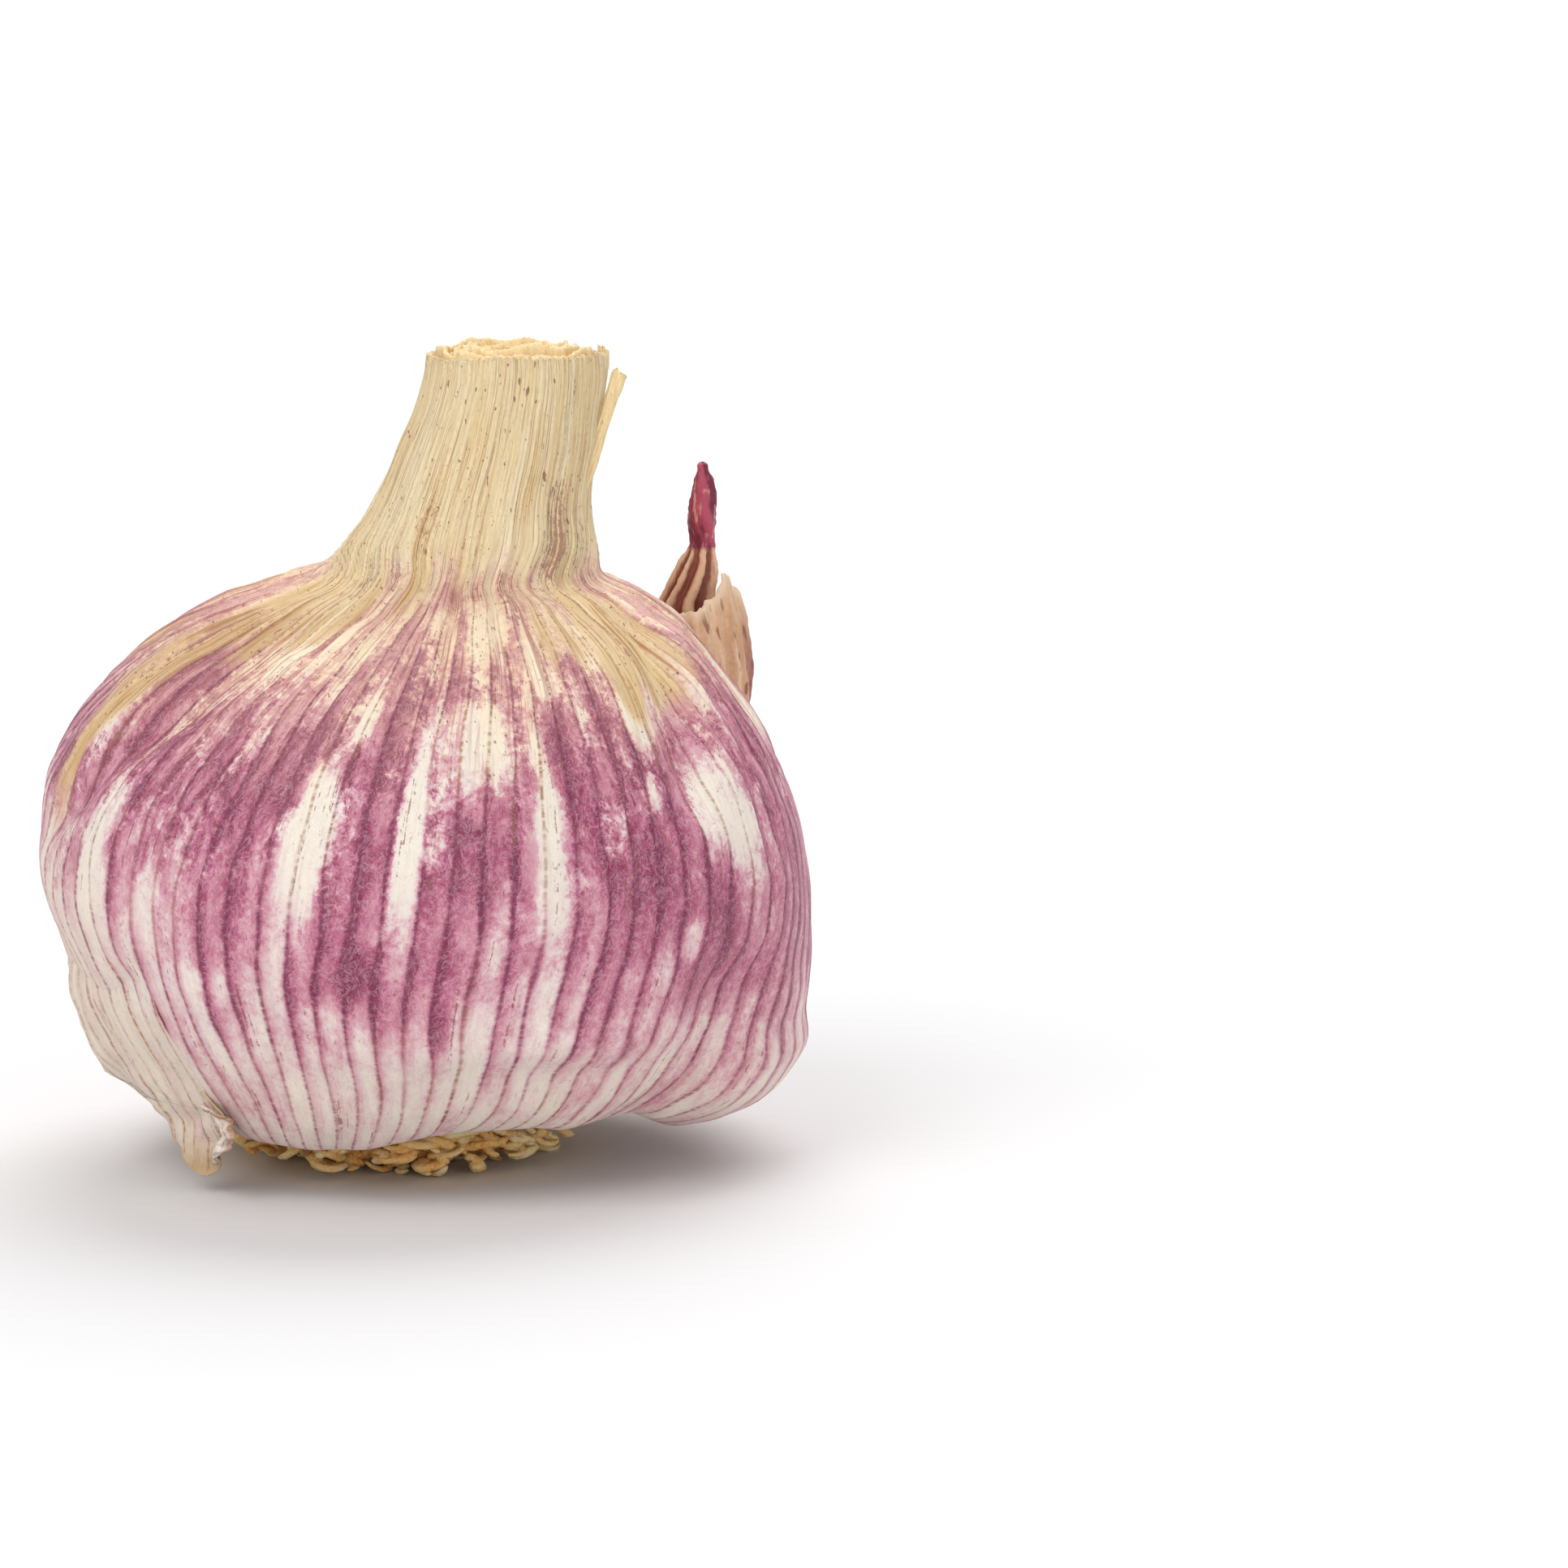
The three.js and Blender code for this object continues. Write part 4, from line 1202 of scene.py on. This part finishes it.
# %% Put the skin's finish together
def skin_finish(name, torn=False):
    """Pigment on cream, scribbles, dry straw skin, painted shade in the fibre grooves, wear, veins, stain
    and specks, in that order. A torn sheet also browns at its edge."""
    finish = Finish(name, Subsurface_Weight=0.06, Subsurface_Scale=0.002, Specular_IOR_Level=0.42)
    sheet = finish.layer("sheet_place", "Vector")
    place = finish.object_mm()
    cells = vein_cells(finish, sheet)
    across, strip, nearest, run = cells
    grain = finish.wander(place, 1.5, 6.0, 0.76, 0.5)
    neck = finish.step(run, NECK_STARTS, NECK_FULL)
    fine_fibre = finish.noise(finish.stretched(sheet, 1, 1, 0.045), 2.3, 4.0, 0.6)
    wide_fibre = finish.noise(finish.stretched(sheet, 1, 1, 0.035), 0.75, 5.0, 0.65)
    fibre = fine_fibre * (0.75 - neck * 0.45) + wide_fibre * (0.25 + neck * 0.45)

    pigment = skin_pigment(finish, sheet, cells, grain)
    ragged = finish.wander(finish.stretched(sheet, 1, 1, 0.12), 0.45, 5.0, 0.6)
    high = finish.step(run + ragged * 6, 38.0, 55.0)
    colour = finish.mix(high, finish.ramp(pigment, FRESH), finish.ramp(pigment, FADED))
    tangle = scribbles(finish, sheet, 1.0, 0.20) * 0.6 + scribbles(finish, sheet, 2.1, 0.24) * 0.4
    colour = finish.mix(tangle * finish.step(pigment, 0.3, 0.6) * 0.38, colour, PALE_SCRIBBLE)

    own_straw = own_wander(finish, strip, run, 22.0, 4.0)
    dry = finish.step(finish.layer("straw") + ragged * 0.28 + own_straw * high * 0.42, 0.34, 0.68)
    straw = finish.ramp(fibre + (0.56 - fibre) * neck * 0.22, STRAW)
    choice = finish.step(own_straw, -0.5, 0.7)
    straw = finish.mix((1 - neck) * (0.18 + choice * 0.55), straw, TAN_STRIP)
    straw = finish.mix((1 - choice) * neck * 0.55, straw, CREAM_STRIP)
    colour = finish.mix(dry * 0.92, colour, straw)
    # Painted shade: darker where the fine fibres sink in the bump, and stronger high on the bulb.
    groove_shade = finish.step(0.5 - fine_fibre, 0.04, 0.12) * (0.10 + high * 0.55)
    colour = finish.mix(groove_shade, colour, finish.mix(dry, PURPLE_GROOVE_SHADE, STRAW_GROOVE_SHADE))
    worn = finish.layer("worn") * (0.35 + finish.step(fibre, 0.42, 0.60) * 0.45)
    colour = finish.mix(worn, colour, WORN_SKIN)

    lines = vein_lines(finish, across, nearest, run, neck)
    amount = finish.layer("purple") + own_wander(finish, nearest, run, 12.0, 2.0) * 0.30
    purple_here = finish.step(amount + (1 - finish.step(run, 24.0, 40.0)) * 0.45, 0.35, 0.7)
    vein_colour = finish.mix(purple_here * (1 - dry), TAN_VEIN, PURPLE_VEIN)
    colour = finish.mix(lines * 0.92, colour, vein_colour)
    stain = finish.step(finish.layer("stain") * 0.8 + (fine_fibre - 0.5) * 5.0 + grain * 0.8, 0.70, 1.05)
    colour = finish.mix(stain * 0.75, colour, BROWN_STAIN)
    speck = finish.noise(finish.stretched(place, 1, 1, 0.45), 3.0, 1.0)
    dots = finish.step(speck, 0.70, 0.75) * finish.step(run, 24.0, 50.0)
    colour = finish.mix(dots * 0.75, colour, DARK_SPECK)
    if torn:
        brown = finish.step(finish.layer("edge") + grain * 0.25, 0.30, 1.0)
        colour = finish.mix(brown * 0.65, colour, BROWN_EDGE)
    height = fibre * 0.45 + grain * 0.07 + lines * 0.2 + tangle * 0.12
    return finish.paint(colour, 0.46 + grain * 0.07, height, 0.17)


striped_skin = skin_finish("striped_skin")
skin.data.materials.append(striped_skin)
print("striped_skin:", len(striped_skin.node_tree.nodes), "nodes")

pale_skin = skin_finish("pale_skin", torn=True)
for piece in (flap, fold, hem):
    piece.data.materials.append(pale_skin)
print("pale_skin:", len(pale_skin.node_tree.nodes), "nodes")

# %% [markdown]
# Dry leaf. The sheaths in the mouth, the quill and the splinters are bare fibre: cream and straw, with
# long fibres and brown flecks. The fibres run up the neck, so noise on Object coordinates is drawn out
# along Z.

# %% Finish of the sheaths
LEAF_TONES = [
    (0.2, (0.60, 0.38, 0.14)), (0.42, (0.84, 0.62, 0.32)), (0.6, (0.93, 0.76, 0.46)),
    (0.85, (0.96, 0.86, 0.64)),
]
BROWN_DASH = (0.36, 0.19, 0.06)


def sheath_finish():
    """Fibre noise and grain through cream and straw, and then broken brown dashes."""
    finish = Finish("leaf_sheath", Subsurface_Weight=0.1, Subsurface_Scale=0.001, Specular_IOR_Level=0.3)
    place = finish.object_mm()
    fibre = finish.noise(finish.stretched(place, 1, 1, 0.07), 2.6, 4.0, 0.6)
    dash = finish.noise(finish.stretched(place, 1, 1, 0.22), 3.1, 3.0, 0.5)
    grain = finish.noise(place, 5.0, 4.0, 0.6)
    colour = finish.ramp(fibre * 0.7 + grain * 0.3, LEAF_TONES)
    colour = finish.mix(finish.step(dash, 0.66, 0.74) * 0.6, colour, BROWN_DASH)
    return finish.paint(colour, 0.55 + grain * 0.2, fibre * 0.7 + grain * 0.3, 0.15)


leaf_sheath = sheath_finish()
for piece in sheaths:
    piece.data.materials.append(leaf_sheath)
print("leaf_sheath:", len(leaf_sheath.node_tree.nodes), "nodes")

# %% [markdown]
# Corky root. The stubs run from pale straw to dark brown. Each has a tone of its own, stored when it
# was made, and earth has stayed in the hollows, so the finish darkens with broad noise as well.

# %% Finish of the roots
ROOT_TONES = [
    (0.0, (0.25, 0.08, 0.01)), (0.22, (0.70, 0.27, 0.055)), (0.48, (0.97, 0.53, 0.16)),
    (0.8, (0.98, 0.71, 0.31)), (1.0, (0.98, 0.84, 0.53)),
]


def root_finish(name, own_tone):
    """Tone plus coarse and fine noise, through the root tones. The disc's tone is low all over."""
    finish = Finish(name, Specular_IOR_Level=0.25)
    place = finish.object_mm()
    coarse = finish.noise(place, 0.55, 3.0, 0.6)
    fine = finish.noise(place, 3.4, 5.0, 0.7)
    tone = finish.layer("tone") * 0.4 if own_tone else fine * 0.1 - 0.2
    amount = tone + (coarse - 0.5) * 1.1 + (fine - 0.5) * 1.7 + 0.54
    return finish.paint(finish.ramp(amount, ROOT_TONES), 0.75 + fine * 0.2, fine * 0.6 + coarse * 0.4, 0.25)


disc.data.materials.append(root_finish("cork", False))
stubs.data.materials.append(root_finish("root_stub", True))
print("cork and root_stub made")

# %% [markdown]
# The husk is tan with a pink flush. Dark dashes lie along its fibres, a patch toward its outer side
# is nearly maroon, and its torn rim is paler.

# %% Finish of the husk
HUSK_TONES = [
    (0.25, (0.38, 0.17, 0.09)), (0.45, (0.60, 0.36, 0.21)), (0.62, (0.76, 0.53, 0.36)),
    (0.8, (0.84, 0.66, 0.50)),
]
HUSK_DASH, MAROON, PALE_RIM = (0.22, 0.07, 0.035), (0.27, 0.055, 0.05), (0.86, 0.68, 0.50)


def husk_finish():
    """Tan and pink by streaks along the height, then dashes, a maroon patch and a pale rim."""
    finish = Finish("dry_husk", Subsurface_Weight=0.05, Subsurface_Scale=0.001, Specular_IOR_Level=0.35)
    sheet = finish.layer("sheet_place", "Vector")
    streak = finish.noise(finish.stretched(sheet, 1, 1, 0.18), 0.9, 5.0, 0.6)
    grain = finish.noise(sheet, 2.4, 4.0, 0.65)
    across = finish.node("SeparateXYZ", {}, {0: sheet}, "X")
    height = finish.node("SeparateXYZ", {}, {0: sheet}, "Z")
    colour = finish.ramp(streak * 0.75 + grain * 0.25, HUSK_TONES)
    dash = finish.noise(finish.stretched(sheet, 1, 1, 0.35), 1.5, 2.0, 0.5)
    colour = finish.mix(finish.step(dash, 0.58, 0.66) * 0.75, colour, HUSK_DASH)
    outer = finish.step(across + (grain - 0.5) * 3, 4.5, 8.0) * (1 - finish.step(height, 37.0, 42.0))
    colour = finish.mix(outer * 0.75, colour, MAROON)
    colour = finish.mix(finish.layer("edge") * 0.7, colour, PALE_RIM)
    return finish.paint(colour, 0.45 + grain * 0.25, streak * 0.6 + grain * 0.4, 0.15)


husk.data.materials.append(husk_finish())
print("dry_husk made")

# %% [markdown]
# The shoot's tip goes from tan, with maroon between its pleats, to a dark magenta bud. The stored
# ridge amount says what is a crest and what is a hollow, and the stored bud amount where the bud is.
# The hollows are painted darker and the crests lighter. This is partly the shoot's own maroon and tan,
# and partly painted shade in the hollows and painted light on the crests. Pale streaks on the bud are
# painted highlights.

# %% Finish of the tip
# Hollow colours: the shoot's own maroon, with painted shade. Crest colours: its tan and magenta, with
# painted light.
STALK_HOLLOW_SHADE, STALK_CREST_LIGHT = (0.30, 0.085, 0.055), (0.74, 0.48, 0.31)
BUD_HOLLOW_SHADE, BUD_CREST_LIGHT = (0.18, 0.012, 0.04), (0.44, 0.065, 0.12)
# The first colour here is a painted highlight for the bud.
BUD_HIGHLIGHT, DUSTY_GREY = (0.76, 0.42, 0.30), (0.85, 0.80, 0.75)


def tip_finish():
    """Painted-shade hollow and painted-light crest colours for the stalk and for the bud, mixed by the
    stored amounts and noise.
    """
    finish = Finish("purple_bud", Subsurface_Weight=0.05, Subsurface_Scale=0.001, Specular_IOR_Level=0.45)
    place = finish.object_mm()
    grain = finish.noise(place, 2.8, 5.0, 0.7)
    streak = finish.noise(finish.stretched(place, 1, 1, 0.2), 2.0, 3.0, 0.6)
    # Painted light on the crests and painted shade in the hollows, following the stored pleat ridge.
    crest_light_shade = finish.step(finish.layer("ridge") + (streak - 0.5) * 0.8, 0.35, 0.85)
    stalk = finish.mix(crest_light_shade, STALK_HOLLOW_SHADE, STALK_CREST_LIGHT)
    bud = finish.mix(crest_light_shade, BUD_HOLLOW_SHADE, BUD_CREST_LIGHT)
    # Painted highlights: pale streaks on the bud.
    bud = finish.mix(finish.step(streak, 0.56, 0.66) * 0.6, bud, BUD_HIGHLIGHT)
    where = finish.step(finish.layer("bud") + (grain - 0.5) * 0.6, 0.3, 0.7)
    colour = finish.mix(where, stalk, bud)
    colour = finish.mix(finish.step(grain, 0.3, 0.75) * 0.3, colour, DUSTY_GREY, "MULTIPLY")
    return finish.paint(colour, 0.38 + grain * 0.25, streak * 0.5 + grain * 0.5, 0.12)


tip.data.materials.append(tip_finish())
print("purple_bud made")

# %% [markdown]
# The table, the light and the camera. A plain pale floor, three far, broad lamps under a white sky,
# and a long lens that looks slightly down on the bulb. The bulb stands left of the middle, as it would
# beside another one.

# %% Floor
def flat_sheet(name, half, height):
    """A square of two by two points, lying flat."""
    side = np.array([-half, half], float)
    x, y = np.meshgrid(side, side)
    return new_piece(name, np.stack([x, y, np.full_like(x, height)], -1))


FLOOR_HALF = 3000
FLOOR_HEIGHT = -0.02  # just under the lowest stub, so no two faces lie in one plane
LIGHT_GREY, PALE_GREY = (0.77, 0.77, 0.77), (0.75, 0.75, 0.75)

floor = flat_sheet("floor", FLOOR_HALF, FLOOR_HEIGHT)
paper_white = Finish("paper_white", Specular_IOR_Level=0.2)
floor_grain = paper_white.noise(paper_white.object_mm(), 0.05, 2.0)
floor_colour = paper_white.mix(floor_grain * 0.3, LIGHT_GREY, PALE_GREY)
floor.data.materials.append(paper_white.paint(floor_colour, 0.8 + floor_grain * 0.1, floor_grain, 0.01))

# %% Light
def soft_lamp(name, turn, rise, spread, strength):
    """A far lamp as broad as the spread, all in degrees. Turn is round from the front to the right."""
    data = bpy.data.lights.new(name, "SUN")
    data.energy = strength
    data.angle = math.radians(spread)
    lamp = bpy.data.objects.new(name, data)
    bpy.context.collection.objects.link(lamp)
    lamp.rotation_euler = (math.radians(90 - rise), 0, math.radians(turn))


SKY_STRENGTH = 0.62

soft_lamp("lamp_left", -38, 44, 40, 1.10)
soft_lamp("lamp_front", 22, 13, 40, 0.50)
soft_lamp("lamp_behind", 165, 52, 50, 1.80)
world = bpy.data.worlds.new("soft_room")
world.use_nodes = True
sky = world.node_tree.nodes["Background"]
sky.inputs["Color"].default_value = (1, 1, 1, 1)
sky.inputs["Strength"].default_value = SKY_STRENGTH
bpy.context.scene.world = world
bpy.context.scene.view_settings.view_transform = "Standard"

# %% Camera
CAMERA_AIM = (29.8, 0, 29.0)
CAMERA_DISTANCE = 500.0
CAMERA_RISE = 9.0
FIELD_WIDTH = 122.3

lens = bpy.data.cameras.new("camera")
lens.sensor_width = 36.0
lens.lens = lens.sensor_width * CAMERA_DISTANCE / FIELD_WIDTH
lens.clip_start = 0.05
camera = bpy.data.objects.new("camera", lens)
bpy.context.collection.objects.link(camera)
rise = math.radians(CAMERA_RISE)
camera.location = (
    CAMERA_AIM[0] * MM,
    (CAMERA_AIM[1] - CAMERA_DISTANCE * math.cos(rise)) * MM,
    (CAMERA_AIM[2] + CAMERA_DISTANCE * math.sin(rise)) * MM,
)
camera.rotation_euler = (math.pi / 2 - rise, 0, 0)
bpy.context.scene.camera = camera
